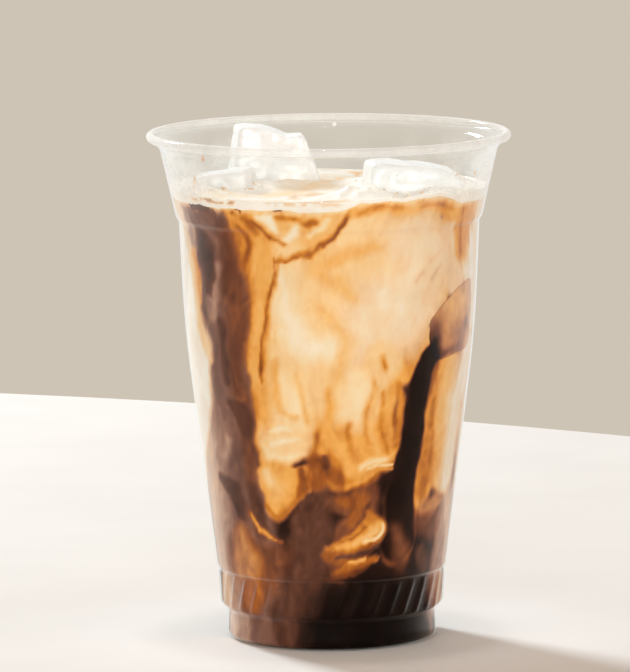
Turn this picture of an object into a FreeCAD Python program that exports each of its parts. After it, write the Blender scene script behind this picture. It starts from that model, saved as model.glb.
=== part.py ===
"""Iced cappuccino in a clear plastic cup: cup, black coffee, milk poured in, and ice at the surface.

Millimetres, +Z up. The origin is the centre of the ring that the cup stands on, and the front is -Y.
"""

import FreeCAD, Part
import math
import os

Vector = FreeCAD.Vector
UP = Vector(0, 0, 1)

# Cup: overall sizes
rim_diameter = 98.0
cup_height = 137.0
base_diameter = 57.0
wall = 0.5

# Cup: rolled bead and the flared lip that carries it
bead_radius = 1.2
lip_height = 4.4  # from the cup's top down to where the flare starts
lip_overhang = 3.6  # from the bead's outside in to the top of the collar

# Cup: collar, stacking ledge and body, from the top down
collar_height = 18.2
collar_taper = 4.2
ledge_height = 1.2
ledge_step = 0.8
upper_body_height = 29.2  # nearly upright part, above the gentle bend
upper_body_taper = 1.3
body_bend_radius = 300.0

# Cup: foot, ribbed band and push-up, from the bottom up
foot_height = 7.6
foot_draw_in = 0.5  # the foot is this much narrower at its top
foot_step_height = 1.3
foot_step = 1.6
band_height = 9.8
band_taper = 0.6
band_step_height = 0.9
band_step = 0.85
heel_radius = 2.0
standing_ring_width = 3.5  # wall to wall, before the heel is rounded
push_up = 3.0
corner_radius = 0.9
sharpest = 0.5  # a corner that would be tighter than this is left sharp

# Ribs pressed into the band
rib_count = 38
rib_radius = 1.2
rib_height = 0.4
rib_lean_deg = 21.0
rib_end_gap = 0.3

# Drink
free_above_drink = 15.5  # from the drink's surface up to the rim
milk_skin = 1.5  # milk that floats all over the surface

# Milk tongues that sink from the surface. Angles turn from the front (-Y) towards +X.
# Each is: angle at the surface, angle at the tip, tip's depth below the surface,
# radius at the surface, radius at the tip, and how far its middle stays from the wall.
milk_tongues = {
    "main": (8, 4, 67, 21.0, 13.5, 12.0),
    "left_lobe": (-14, -20, 85, 13.0, 8.5, 4.0),
    "right_lobe": (24, 15, 77, 12.0, 8.0, 4.0),
    "shoulder": (42, 40, 40, 12.5, 9.0, 5.0),
    "right_edge": (78, 62, 84, 7.0, 9.5, 3.0),
    "left_edge": (-92, -84, 58, 7.0, 8.0, 2.5),
    "back_left": (-142, -150, 78, 12.0, 8.0, 4.0),
    "back_right": (150, 138, 62, 13.0, 9.0, 4.5),
}

nose_flat = 2.0  # radius of the flat spot at a tongue's tip

# Ice at the surface. Each block keeps to its own sector of the cup.
# Each is: the sector's two sides as angles, the block's angle and distance from the axis,
# how far its top stands over the drink, its width, depth and height, how much narrower
# its top is than its bottom, its turn, its tilt and the slope hewn off its top.
ice_blocks = {
    "ice_tall": (-180, -106, -142, 25.5, 17.3, (23.0, 19.0, 27.0), 5.0, 6, 3, 18),
    "ice_left": (-106, -8, -93, 28.5, 5.6, (18.0, 17.0, 20.0), 2.0, 168, 3, 8),
    "ice_front_right": (-8, 92, 60, 25.0, 7.6, (26.0, 21.0, 22.0), 3.0, 9, 2, 9),
    "ice_back_right": (92, 180, 131, 27.0, 4.6, (22.0, 20.0, 21.0), 2.5, 11, -5, 7),
}
ice_edge_radius = 1.8
ice_wall_gap = 0.3
ice_gap = 0.8

# Heights and radii that follow from the sizes above
bead_middle = rim_diameter / 2 - bead_radius
bead_level = cup_height - bead_radius
collar_top = cup_height - lip_height
ledge_top = collar_top - collar_height
ledge_bottom = ledge_top - ledge_height
bend_level = ledge_bottom - upper_body_height
collar_top_radius = rim_diameter / 2 - lip_overhang
ledge_top_radius = collar_top_radius - collar_taper
body_top_radius = ledge_top_radius - ledge_step
bend_level_radius = body_top_radius - upper_body_taper
foot_radius = base_diameter / 2
band_bottom = foot_height + foot_step_height
band_top = band_bottom + band_height
body_bottom = band_top + band_step_height
foot_top_radius = foot_radius - foot_draw_in
band_bottom_radius = foot_top_radius + foot_step
band_top_radius = band_bottom_radius + band_taper
body_bottom_radius = band_top_radius + band_step
standing_ring_inside = foot_radius - standing_ring_width
surface = cup_height - free_above_drink

# The cup's outer face from the axis to the bead: radius, height and corner radius
outer_face = [
    (0.0, push_up, 0.0),
    (standing_ring_inside, push_up, corner_radius),
    (standing_ring_inside, 0.0, corner_radius),
    (foot_radius, 0.0, heel_radius),
    (foot_top_radius, foot_height, corner_radius),
    (band_bottom_radius, band_bottom, corner_radius),
    (band_top_radius, band_top, corner_radius),
    (body_bottom_radius, body_bottom, corner_radius),
    (bend_level_radius, bend_level, body_bend_radius),
    (body_top_radius, ledge_bottom, corner_radius),
    (ledge_top_radius, ledge_top, corner_radius),
    (collar_top_radius, collar_top, corner_radius),
    (bead_middle, bead_level, 0.0),
]


def stopped_at_bead(face, depth):
    """The face, at its depth in the wall, cut short where its lip runs into the bead."""
    out_r, out_z = unit(face[-2], face[-1])
    reach = math.sqrt(bead_radius ** 2 - depth ** 2)
    end_r = bead_middle - out_r * reach - out_z * depth
    end_z = bead_level - out_z * reach + out_r * depth
    return face[:-1] + [(end_r, end_z, 0.0)]


def unit(a, b):
    """Unit vector from a to b, two (radius, height) pairs."""
    length = math.hypot(b[0] - a[0], b[1] - a[1])
    return (b[0] - a[0]) / length, (b[1] - a[1]) / length


def inset(face, depth):
    """The face moved inwards, to the left of its direction, with its corners made to match."""
    moved = []
    for i, (r, z, corner) in enumerate(face):
        before = unit(face[i - 1], face[i]) if i else unit(face[i], face[i + 1])
        after = unit(face[i], face[i + 1]) if i + 1 < len(face) else before
        turn = before[0] * after[1] - before[1] * after[0]
        share = depth / (1 + before[0] * after[0] + before[1] * after[1])
        step_r = -(before[1] + after[1]) * share
        step_z = (before[0] + after[0]) * share
        radius = corner - depth if turn > 0 else corner + depth
        moved.append((max(r + step_r, 0.0), z + step_z, radius if radius > sharpest and corner else 0.0))
    return moved


def at(point):
    return Vector(point[0], 0, point[1])


def rounded(face):
    """Edges of a face's section: straight runs joined by tangent arcs."""
    edges = []
    start = face[0]
    for i in range(1, len(face)):
        corner = face[i]
        if i + 1 == len(face) or corner[2] == 0:
            edges.append(Part.makeLine(at(start), at(corner)))
            start = corner
            continue
        back, ahead = unit(corner, face[i - 1]), unit(corner, face[i + 1])
        half = math.acos(back[0] * ahead[0] + back[1] * ahead[1]) / 2
        reach = corner[2] / math.tan(half)
        enter = (corner[0] + back[0] * reach, corner[1] + back[1] * reach)
        leave = (corner[0] + ahead[0] * reach, corner[1] + ahead[1] * reach)
        length = math.hypot(back[0] + ahead[0], back[1] + ahead[1])
        depth = (corner[2] / math.sin(half) - corner[2]) / length
        middle = (corner[0] + (back[0] + ahead[0]) * depth, corner[1] + (back[1] + ahead[1]) * depth)
        edges.append(Part.makeLine(at(start), at(enter)))
        edges.append(Part.Arc(at(enter), at(middle), at(leave)).toShape())
        start = leave
    return edges


def turned(edges):
    """Solid of revolution about the cup's axis from the edges of a closed section."""
    return Part.Face(Part.Wire(Part.__sortEdges__(edges))).revolve(Vector(), UP, 360)


def filled(face, top):
    """Everything inside a face, from its floor up to the height top."""
    last = face[-1]
    edges = rounded(face)
    edges.append(Part.makeLine(at(last), Vector(0, 0, last[1])))
    edges.append(Part.makeLine(Vector(0, 0, last[1]), at(face[0])))
    below = Part.makeCylinder(rim_diameter, top - face[0][1] + cup_height, Vector(0, 0, -cup_height + face[0][1]))
    return turned(edges).common(below)


def around(angle_deg, distance, height):
    """A point by its angle from the front, its distance from the axis and its height."""
    angle = math.radians(angle_deg)
    return Vector(distance * math.sin(angle), -distance * math.cos(angle), height)


def radius_at(face, height):
    """A face's radius at a height on the cup's side."""
    for (r0, z0, _), (r1, z1, _) in zip(face[3:], face[4:]):
        if z0 <= height <= z1:
            return r0 + (r1 - r0) * (height - z0) / (z1 - z0)
    return face[-1][0]


def ribs():
    """Leaning ribs round the band, each clipped to the band and rooted in its wall."""
    bottom, top = band_bottom + rib_end_gap, band_top - rib_end_gap
    taper = band_taper / band_height * rib_end_gap
    low, high = band_bottom_radius + taper, band_top_radius - taper
    skin = Part.makeCone(low + rib_height, high + rib_height, top - bottom, Vector(0, 0, bottom))
    core = Part.makeCone(low - wall / 2, high - wall / 2, top - bottom, Vector(0, 0, bottom))
    middle = (low + high) / 2 + rib_height - rib_radius
    bar = Part.makeCylinder(rib_radius, 2 * band_height, Vector(0, 0, -band_height))
    bar.rotate(Vector(), Vector(0, 1, 0), rib_lean_deg)
    bar.rotate(Vector(), Vector(1, 0, 0), -math.degrees(math.atan(band_taper / band_height)))
    bar.translate(Vector(0, -middle, (bottom + top) / 2))
    rib = bar.common(skin).cut(core)
    made = []
    for i in range(rib_count):
        copy = rib.copy()
        copy.rotate(Vector(), UP, 360.0 * i / rib_count)
        made.append(copy)
    return made


def cup(inner_face):
    """Thin wall from the floor to the lip, rolled bead and ribbed band."""
    outside = stopped_at_bead(outer_face, 0.0)
    inside = stopped_at_bead(inner_face, wall)
    out_r, out_z = unit(outer_face[-2], outer_face[-1])
    bead_tip = (bead_middle + out_r * bead_radius, bead_level + out_z * bead_radius)
    edges = rounded(outside) + rounded(inside)
    edges.append(Part.makeLine(at(outside[0]), at(inside[0])))
    edges.append(Part.Arc(at(outside[-1]), at(bead_tip), at(inside[-1])).toShape())
    return turned(edges).multiFuse(ribs()).removeSplitter()


def tongue(angle, tip_angle, depth, top_radius, tip_radius, from_wall, inner_face):
    """A tapering body of milk with a blunt round nose, from above the surface down to its tip."""
    tip_level = surface - depth + tip_radius
    top = around(angle, radius_at(inner_face, surface) - from_wall, surface + top_radius)
    tip = around(tip_angle, radius_at(inner_face, tip_level) - from_wall, tip_level)
    length = top.distanceToPoint(tip)
    lean = math.asin((top_radius - tip_radius) / length)
    curve = tip_radius - nose_flat
    wide = top_radius - nose_flat
    low = (nose_flat + curve * math.cos(lean), -curve * math.sin(lean))
    high = (nose_flat + wide * math.cos(lean), length - wide * math.sin(lean))
    middle = math.pi / 4 + lean / 2
    nose = (nose_flat + curve * math.sin(middle), -curve * math.cos(middle))
    edges = [
        Part.makeLine(Vector(0, 0, -curve), Vector(nose_flat, 0, -curve)),
        Part.Arc(Vector(nose_flat, 0, -curve), at(nose), at(low)).toShape(),
        Part.makeLine(at(low), at(high)),
        Part.makeLine(at(high), Vector(0, 0, high[1])),
        Part.makeLine(Vector(0, 0, high[1]), Vector(0, 0, -curve)),
    ]
    body = turned(edges)
    body.Placement = FreeCAD.Placement(tip, FreeCAD.Rotation(UP, top - tip))
    return body


def milk_cloud(inner_face):
    """The floating skin of milk with all its tongues."""
    skin = Part.makeCylinder(rim_diameter, milk_skin + free_above_drink, Vector(0, 0, surface - milk_skin))
    cloud = skin.multiFuse([tongue(*sizes, inner_face) for sizes in milk_tongues.values()])
    return cloud


def sector(start, end):
    """The space between two angles, short of each side by half the gap."""
    size = 2 * rim_diameter
    space = None
    for angle, side in ((start, 0.0), (end, -size)):
        half = Part.makeBox(2 * size, size, 2 * size, Vector(-size, side, -size))
        half.translate(Vector(0, ice_gap / 2 if side == 0 else -ice_gap / 2, 0))
        half.rotate(Vector(), UP, angle - 90.0)
        space = half if space is None else space.common(half)
    return space


def ice_block(start, end, angle, distance, proud, size, narrowing, turn, tilt, slope, room):
    """A rounded block with a sloping top, standing in the drink within its sector of the room."""
    width, depth, height = size
    x, y = width / 2, depth / 2
    top_x, top_y = x - narrowing / 2, y - narrowing / 2
    block = Part.makeWedge(-x, -height, -y, -top_y, -top_x, x, 0, y, top_y, top_x)
    block.rotate(Vector(), Vector(1, 0, 0), 90)
    hewn = Part.makeBox(3 * width, 3 * depth, height, Vector(0, -1.5 * depth, 0))
    hewn.rotate(Vector(), Vector(0, 1, 0), slope)
    hewn.translate(Vector(-width / 5, 0, 0))
    block = block.cut(hewn)
    block = block.makeFillet(ice_edge_radius, block.Edges)
    block.rotate(Vector(), Vector(0, 1, 0), tilt)
    block.rotate(Vector(), UP, turn)
    block.translate(around(angle, distance, surface + proud))
    return block.common(room).common(sector(start, end))


def write(name, shape):
    solids = shape.Solids
    whole = solids[0] if len(solids) == 1 else Part.makeCompound(solids)
    whole.exportStep(os.path.join("parts", name + ".step"))
    print(f"{name}: {len(solids)} solid(s), {shape.Volume / 1000:.2f} cm3, valid {shape.isValid()}")


def main():
    os.makedirs("parts", exist_ok=True)
    inner_face = inset(outer_face, wall)
    write("cup", cup(inner_face))
    room = filled(inset(outer_face, wall + ice_wall_gap), cup_height * 2)
    ice = {name: ice_block(*sizes, room) for name, sizes in ice_blocks.items()}
    drink = filled(inner_face, surface).cut(Part.makeCompound(list(ice.values())))
    cloud = milk_cloud(inner_face)
    write("coffee", drink.cut(cloud))
    write("milk", drink.common(cloud))
    for name, block in ice.items():
        write(name, block)


main()
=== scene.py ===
import math

import bmesh
import bpy
import numpy as np
from mathutils import Matrix, Vector
from mathutils.bvhtree import BVHTree


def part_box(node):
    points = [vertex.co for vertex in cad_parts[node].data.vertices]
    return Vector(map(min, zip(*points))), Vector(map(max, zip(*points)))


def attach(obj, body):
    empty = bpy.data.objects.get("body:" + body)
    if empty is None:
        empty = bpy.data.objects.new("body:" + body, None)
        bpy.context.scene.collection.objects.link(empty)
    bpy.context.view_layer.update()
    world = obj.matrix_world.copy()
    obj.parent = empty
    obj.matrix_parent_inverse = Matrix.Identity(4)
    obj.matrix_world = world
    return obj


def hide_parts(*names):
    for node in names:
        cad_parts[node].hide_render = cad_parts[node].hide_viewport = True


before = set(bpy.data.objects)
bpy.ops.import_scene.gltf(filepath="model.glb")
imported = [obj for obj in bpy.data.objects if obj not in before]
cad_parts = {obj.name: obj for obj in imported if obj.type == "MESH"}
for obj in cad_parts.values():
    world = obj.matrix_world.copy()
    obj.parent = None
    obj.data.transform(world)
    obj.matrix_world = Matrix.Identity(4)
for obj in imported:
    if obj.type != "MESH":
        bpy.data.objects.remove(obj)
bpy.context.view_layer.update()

# Sizes are in millimetres up to the moment a mesh is made. +Z is up and the front is -Y.
MM = 0.001
CUP_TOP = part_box("cup")[1][2] / MM
RIM_RADIUS = min(abs(reach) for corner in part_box("cup") for reach in corner[:2]) / MM
DRINK_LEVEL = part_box("milk")[1][2] / MM

# Cup: the same sizes as the solid, from the axis out along the bottom and up to the bead
WALL = 0.5
BEAD_RADIUS = 1.2
PUSH_UP = 3.0
STANDING_RING_INSIDE = 25.0
FOOT_RADIUS = 28.5
FOOT_TOP = (28.0, 7.6)
BAND_BOTTOM = (29.6, 8.9)
BAND_TOP = (30.2, 18.7)
BODY_BOTTOM = (31.05, 19.6)
BODY_BEND = (39.1, 84.0)
BODY_BEND_RADIUS = 300.0
LEDGE_BOTTOM = (40.4, 113.2)
LEDGE_TOP = (41.2, 114.4)
COLLAR_TOP = (RIM_RADIUS - 3.6, CUP_TOP - 4.4)
BEAD_MIDDLE = (RIM_RADIUS - BEAD_RADIUS, CUP_TOP - BEAD_RADIUS)
CORNER = 0.9
HEEL = 2.0
SMALLEST_CORNER = 0.3

# Leaning flutes pressed into the band above the foot
FLUTE_COUNT = 38
FLUTE_DEPTH = 0.55
FLUTE_SHARPNESS = 2.4
FLUTE_SINK = 0.22
FLUTE_LEAN_DEG = 21.0
FLUTE_FADE = 1.3
FLUTE_OVERRUN = 0.2
BAND_RADIUS = (BAND_BOTTOM[0] + BAND_TOP[0]) / 2
BAND_MIDDLE = (BAND_BOTTOM[1] + BAND_TOP[1]) / 2

# Points along the cup's section: steps in the band and elsewhere, points round the bead and to each flute
BAND_STEP = 0.75
PLAIN_STEP = 4.0
BEAD_POINTS = 20
FLUTE_POINTS = 10

# How far the drink's skin reaches into the wall, and the milk and the sunk ice just past it
DRINK_IN_WALL = 0.10
SUNK_ICE_IN_WALL = 0.13
MILK_IN_WALL = 0.16

# Camera: distance in front, height, the point it looks at, roll and lens
CAMERA_PLACE = (0.0, -1.9, 0.3293)
CAMERA_AIM = (-0.00403, 0.0, 0.08143)
CAMERA_ROLL_DEG = -0.43
CAMERA_LENS = 380.9
SENSOR_WIDTH = 36.0


def tone(red, green, blue):
    """A colour as seen on a screen, 0 to 255, as the linear colour that nodes hold."""
    linear = []
    for value in (red, green, blue):
        value = value / 255
        linear.append(value / 12.92 if value <= 0.04045 else ((value + 0.055) / 1.055) ** 2.4)
    return (*linear, 1.0)


def smooth_step(low, high, value):
    """0 below low, 1 above high and an S-curve between, also with low and high swapped."""
    share = np.clip((value - low) / (high - low), 0.0, 1.0)
    return share * share * (3.0 - 2.0 * share)


def plateau(start, full, fade, end, value):
    """0 up to start, 1 from full to fade, and 0 again from end on."""
    return smooth_step(start, full, value) * smooth_step(end, fade, value)


# ---------------------------------------------------------------- smooth noise

# Large primes that mix the three whole numbers of a lattice corner into one key
CORNER_PRIMES = np.array([73856093, 19349663, 83492791])
KEY_PRIME = 2654435761


def lattice_noise(points, size, seed):
    """Smooth noise from about -1 to 1 at each point, with bumps about as large as size."""
    directions = np.random.default_rng(seed).normal(size=(256, 3))
    directions /= np.linalg.norm(directions, axis=1)[:, None]
    scaled = points / size
    cell = np.floor(scaled).astype(np.int64)
    inside = scaled - cell
    ease = inside ** 3 * (inside * (inside * 6 - 15) + 10)
    total = np.zeros(len(points))
    for corner in np.ndindex(2, 2, 2):
        key = (cell + corner) @ CORNER_PRIMES
        key = (key ^ (key >> 11)) * KEY_PRIME & 0xFFFFFFFF
        away = inside - corner
        lean = (directions[(key >> 13) & 255] * away).sum(1)
        share = np.where(corner, ease, 1 - ease).prod(1)
        total += lean * share
    return total * 1.7


def layered_noise(points, size, seed, layers=3):
    """Noise with finer and fainter layers on top."""
    total = np.zeros(len(points))
    for i in range(layers):
        total += lattice_noise(points, size / 2 ** i, seed + i) / 2 ** i
    return total


# ---------------------------------------------------------------- the cup's section

def unit(a, b):
    """The direction from a to b, one long."""
    length = math.hypot(b[0] - a[0], b[1] - a[1])
    return (b[0] - a[0]) / length, (b[1] - a[1]) / length


def cup_face(depth):
    """The cup's face at a depth in its wall, from the axis to the lip: radius, height, corner radius."""
    outside = [
        (0.0, PUSH_UP, 0.0),
        (STANDING_RING_INSIDE, PUSH_UP, CORNER),
        (STANDING_RING_INSIDE, 0.0, CORNER),
        (FOOT_RADIUS, 0.0, HEEL),
        (*FOOT_TOP, CORNER),
        (*BAND_BOTTOM, CORNER),
        (*BAND_TOP, CORNER),
        (*BODY_BOTTOM, CORNER),
        (*BODY_BEND, BODY_BEND_RADIUS),
        (*LEDGE_BOTTOM, CORNER),
        (*LEDGE_TOP, CORNER),
        (*COLLAR_TOP, CORNER),
        (*BEAD_MIDDLE, 0.0),
    ]
    moved = []
    for i, (r, z, corner) in enumerate(outside):
        before = unit(outside[i - 1], outside[i]) if i else unit(outside[i], outside[i + 1])
        after = unit(outside[i], outside[i + 1]) if i + 1 < len(outside) else before
        turn = before[0] * after[1] - before[1] * after[0]
        share = depth / (1 + before[0] * after[0] + before[1] * after[1])
        radius = corner - depth if turn > 0 else corner + depth
        r = max(r - (before[1] + after[1]) * share, 0.0)
        z = z + (before[0] + after[0]) * share
        moved.append((r, z, max(radius, SMALLEST_CORNER) if corner else 0.0))
    return moved


def rounded_line(face, corner_steps=4):
    """A face as one line of points with its corners rounded."""
    line = [face[0][:2]]
    for i in range(1, len(face) - 1):
        corner = face[i]
        back, ahead = unit(corner, face[i - 1]), unit(corner, face[i + 1])
        half = math.acos(max(-1.0, min(1.0, back[0] * ahead[0] + back[1] * ahead[1]))) / 2
        reach = corner[2] / math.tan(half)
        length = math.hypot(back[0] + ahead[0], back[1] + ahead[1])
        to_centre = corner[2] / math.sin(half) / length
        centre = np.array(corner[:2]) + np.array([back[0] + ahead[0], back[1] + ahead[1]]) * to_centre
        start = np.array(corner[:2]) + np.array(back) * reach - centre
        stop = np.array(corner[:2]) + np.array(ahead) * reach - centre
        sweep = math.pi - 2 * half
        for step in range(corner_steps + 1):
            share = step / corner_steps
            a, b = math.sin((1 - share) * sweep), math.sin(share * sweep)
            line.append(tuple(centre + (start * a + stop * b) / math.sin(sweep)))
    line.append(face[-1][:2])
    return np.array(line)


def filled_in(line, longest):
    """The line with points added where two neighbours are further apart than longest(height)."""
    full = [line[0]]
    for a, b in zip(line, line[1:]):
        length = np.linalg.norm(b - a)
        pieces = max(1, math.ceil(length / longest((a[1] + b[1]) / 2)))
        for i in range(1, pieces + 1):
            full.append(a + (b - a) * i / pieces)
    return np.array(full)


def cup_section():
    """The wall's whole section: out along the outside, round the bead and back along the inside."""
    outside, inside = cup_face(0.0), cup_face(WALL)
    out_r, out_z = unit(outside[-2], outside[-1])
    ends = []
    for depth in (0.0, WALL):
        reach = math.sqrt(BEAD_RADIUS ** 2 - depth ** 2)
        ends.append((-out_r * reach - out_z * depth, -out_z * reach + out_r * depth))
    centre = np.array(BEAD_MIDDLE)
    first = math.atan2(ends[0][1], ends[0][0])
    last = math.atan2(ends[1][1], ends[1][0])
    while last < first:
        last += 2 * math.pi
    bead = []
    for angle in np.linspace(first, last, BEAD_POINTS):
        bead.append(centre + BEAD_RADIUS * np.array([math.cos(angle), math.sin(angle)]))

    def spacing(height):
        return BAND_STEP if BAND_BOTTOM[1] - 1 < height < BAND_TOP[1] + 1 else PLAIN_STEP

    outside[-1] = (*(centre + ends[0]), 0.0)
    inside[-1] = (*(centre + ends[1]), 0.0)
    out_line = filled_in(rounded_line(outside), spacing)
    in_line = filled_in(rounded_line(inside), spacing)
    return np.vstack([out_line, bead[1:-1], in_line[::-1]])


def floor_and_side(depth):
    """A face in the wall, cut where it stands lowest: the line under the drink and the line up its side."""
    line = rounded_line(cup_face(depth), 8)
    lowest = np.argmax(line[:, 1] == line[:, 1].min())
    return line[:lowest + 1], line[lowest:]


INNER_SIDE = floor_and_side(WALL)[1]


def flute_offset(angle, height):
    """How far the fluted band stands out of its plain cone. Angle in radians, counter-clockwise from +X."""
    lean = math.tan(math.radians(FLUTE_LEAN_DEG)) / BAND_RADIUS
    wave = 0.5 + 0.5 * np.cos(FLUTE_COUNT * (angle - lean * (height - BAND_MIDDLE)))
    in_band = plateau(BAND_BOTTOM[1] - FLUTE_OVERRUN, BAND_BOTTOM[1] + FLUTE_FADE,
                      BAND_TOP[1] - FLUTE_FADE, BAND_TOP[1] + FLUTE_OVERRUN, height)
    return FLUTE_DEPTH * (wave ** FLUTE_SHARPNESS - FLUTE_SINK) * in_band


def inner_radius(height):
    """The inside wall's radius at a height."""
    return np.interp(height, INNER_SIDE[:, 1], INNER_SIDE[:, 0])


# ---------------------------------------------------------------- materials

class Wiring:
    """A node tree and a short way to wire it. Inputs go by name, or by order as i0, i1 and so on."""

    def __init__(self, tree):
        self.tree = tree
        self.nodes = tree.nodes

    def feed(self, socket, value):
        """Links another node's output to the socket, or writes a plain value on it."""
        if isinstance(value, bpy.types.NodeSocket):
            self.tree.links.new(value, socket)
        else:
            socket.default_value = value

    def add(self, kind, settings=None, **inputs):
        """A new node with its settings and its inputs."""
        node = self.nodes.new(kind)
        for key, value in (settings or {}).items():
            setattr(node, key, value)
        for key, value in inputs.items():
            by_order = key[0] == "i" and key[1:].isdigit()
            self.feed(node.inputs[int(key[1:]) if by_order else key.replace("_", " ")], value)
        return node

    def math(self, operation, a, b=0.0, c=0.0, clamp=False):
        node = self.add("ShaderNodeMath", {"operation": operation, "use_clamp": clamp}, i0=a, i1=b, i2=c)
        return node.outputs[0]


class Finish(Wiring):
    """A material and its nodes."""

    def __init__(self, name):
        self.material = bpy.data.materials.new(name)
        self.material.use_nodes = True
        super().__init__(self.material.node_tree)
        self.nodes.clear()
        self.output = self.nodes.new("ShaderNodeOutputMaterial")

    def noise(self, size, detail=3.0, roughness=0.5, stretch=None, distortion=0.0):
        """Noise on Object coordinates with features about as large as size, in metres."""
        place = self.add("ShaderNodeTexCoord").outputs["Object"]
        if stretch:
            place = self.add("ShaderNodeMapping", Vector=place, Scale=stretch).outputs[0]
        return self.add("ShaderNodeTexNoise", None, Vector=place, Scale=1.0 / size, Detail=detail,
                        Roughness=roughness, Distortion=distortion).outputs["Fac"]

    def ramp(self, value, stops):
        node = self.nodes.new("ShaderNodeValToRGB")
        marks = node.color_ramp.elements
        while len(marks) < len(stops):
            marks.new(0.5)
        for mark, (place, colour) in zip(marks, stops):
            mark.position = place
            mark.color = colour
        self.feed(node.inputs[0], value)
        return node.outputs[0]

    def mix_colour(self, share, a, b, blend="MIX"):
        settings = {"data_type": "RGBA", "blend_type": blend}
        return self.add("ShaderNodeMix", settings, i0=share, i6=a, i7=b).outputs[2]

    def attribute(self, name):
        """A number that the piece's mesh carries at each point."""
        return self.add("ShaderNodeAttribute", {"attribute_name": name}).outputs["Fac"]

    def bump(self, height, distance):
        return self.add("ShaderNodeBump", None, Height=height, Distance=distance).outputs[0]

    def skin(self, colour, roughness, **inputs):
        """Ends the material in one skin that isn't see-through."""
        node = self.add("ShaderNodeBsdfPrincipled", None, Base_Color=colour, Roughness=roughness, **inputs)
        return self.finish(node.outputs[0])

    def finish(self, shader):
        self.feed(self.output.inputs["Surface"], shader)
        return self.material


# From coffee to milk: warm where light comes through, cool where it is hazy
WARM_STOPS = [
    (0.00, tone(14, 8, 6)), (0.12, tone(48, 24, 15)), (0.26, tone(118, 60, 28)), (0.38, tone(176, 98, 36)),
    (0.50, tone(224, 146, 58)), (0.62, tone(244, 180, 96)), (0.76, tone(249, 206, 140)),
    (0.88, tone(250, 225, 178)), (1.00, tone(253, 242, 220)),
]
COOL_STOPS = [
    (0.00, tone(16, 8, 6)), (0.12, tone(58, 38, 30)), (0.22, tone(92, 62, 51)), (0.34, tone(130, 93, 80)),
    (0.48, tone(168, 130, 114)), (0.62, tone(205, 172, 152)), (0.78, tone(242, 206, 170)),
    (0.88, tone(243, 220, 194)), (1.00, tone(253, 250, 244)),
]


def marbled_liquid(name, roughness, gloss):
    """Coffee and milk from black to pale cream. The mesh says how milky and how warm it is at each point."""
    f = Finish(name)
    milk, warmth = f.attribute("milk"), f.attribute("warmth")
    threads = f.noise(0.0035, detail=4.0, roughness=0.6, stretch=(1.0, 1.0, 0.45), distortion=0.6)
    stir = f.math("MULTIPLY", f.math("SUBTRACT", threads, 0.5), 0.10)
    milky = f.math("ADD", milk, stir, clamp=True)
    warm = f.ramp(milky, WARM_STOPS)
    cool = f.ramp(milky, COOL_STOPS)
    colour = f.mix_colour(warmth, cool, warm)
    cloud = f.math("MULTIPLY_ADD", f.noise(0.011, detail=2.0), 0.16, 0.92)
    shade = f.add("ShaderNodeCombineColor", None, i0=cloud, i1=cloud, i2=cloud).outputs[0]
    colour = f.mix_colour(1.0, colour, shade, "MULTIPLY")
    relief = f.bump(f.noise(0.002, detail=2.0), 0.00004)
    return f.skin(colour, roughness, Normal=relief, Specular_IOR_Level=gloss)


# How the sheet shines: a power of its slant, its strength edge on, what is left face on, and its tint
SHEEN_POWER = 3.6
SHEEN = 0.80
SHEEN_FACE_ON = 0.0015
SHEEN_TINT = (0.98, 0.98, 0.98, 1.0)


def clear_plastic():
    """Thin clear sheet: see-through face on, bright at its edges, with a white diffuse layer: mist with
    painted reflection over the drink, painted sheen and highlight on lip and bead.
    """
    f = Finish("clear_plastic_sheet")
    waves = f.bump(f.noise(0.018, detail=1.5, stretch=(1.0, 1.0, 0.5)), 0.00012)
    away = f.add("ShaderNodeLayerWeight", None, Blend=0.5, Normal=waves).outputs["Facing"]
    edge = f.math("MULTIPLY_ADD", f.math("POWER", away, SHEEN_POWER), SHEEN, SHEEN_FACE_ON, clamp=True)
    clear = f.add("ShaderNodeBsdfTransparent", None, Color=tone(253, 254, 254)).outputs[0]
    gloss = f.add("ShaderNodeBsdfGlossy", None, Color=SHEEN_TINT, Roughness=0.05, Normal=waves).outputs[0]
    wall = f.add("ShaderNodeMixShader", None, i0=edge, i1=clear, i2=gloss).outputs[0]
    # The white diffuse below is mist over the drink with painted reflection at its sides, and painted sheen
    # and highlight on the lip and bead.
    patches = f.math("MULTIPLY_ADD", f.noise(0.007, detail=4.0, roughness=0.6), 0.9, 0.35)
    mist = f.math("MULTIPLY", f.attribute("mist"), patches, clamp=True)
    fog_and_sheen = f.add("ShaderNodeBsdfDiffuse", None, Color=tone(254, 254, 252)).outputs[0]
    return f.finish(f.add("ShaderNodeMixShader", None, i0=mist, i1=wall, i2=fog_and_sheen).outputs[0])


def frosty_ice():
    """White, slightly wet ice with faint clouds inside."""
    f = Finish("frosty_ice")
    clouds = f.noise(0.006, detail=4.0, roughness=0.6, distortion=0.4)
    colour = f.ramp(clouds, [(0.30, tone(238, 243, 245)), (0.62, tone(254, 255, 255))])
    relief = f.bump(f.noise(0.0025, detail=4.0), 0.00012)
    return f.skin(colour, 0.28, Normal=relief, Subsurface_Weight=0.35,
                  Subsurface_Radius=(0.004, 0.004, 0.004), Coat_Weight=0.5, Coat_Roughness=0.10)


def bubble_film(light, shade):
    """A bubble's skin: cream to tan and shiny."""
    f = Finish("bubble_film")
    tint = f.ramp(f.noise(0.003), [(0.38, shade), (0.6, light)])
    return f.skin(tint, 0.1, Coat_Weight=0.6)


def coffee_drop():
    """Splashed coffee with milk in it."""
    f = Finish("milk_coffee_drop")
    colour = f.ramp(f.noise(0.004, detail=2.0), [(0.4, tone(226, 160, 92)), (0.65, tone(248, 226, 190))])
    return f.skin(colour, 0.15)


def table_top():
    """A pale, matt table with the faintest clouds."""
    f = Finish("pale_table")
    colour = f.ramp(f.noise(0.05, detail=2.0), [(0.3, tone(238, 236, 234)), (0.7, tone(242, 240, 238))])
    return f.skin(colour, 0.7)


# ---------------------------------------------------------------- meshes

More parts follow.
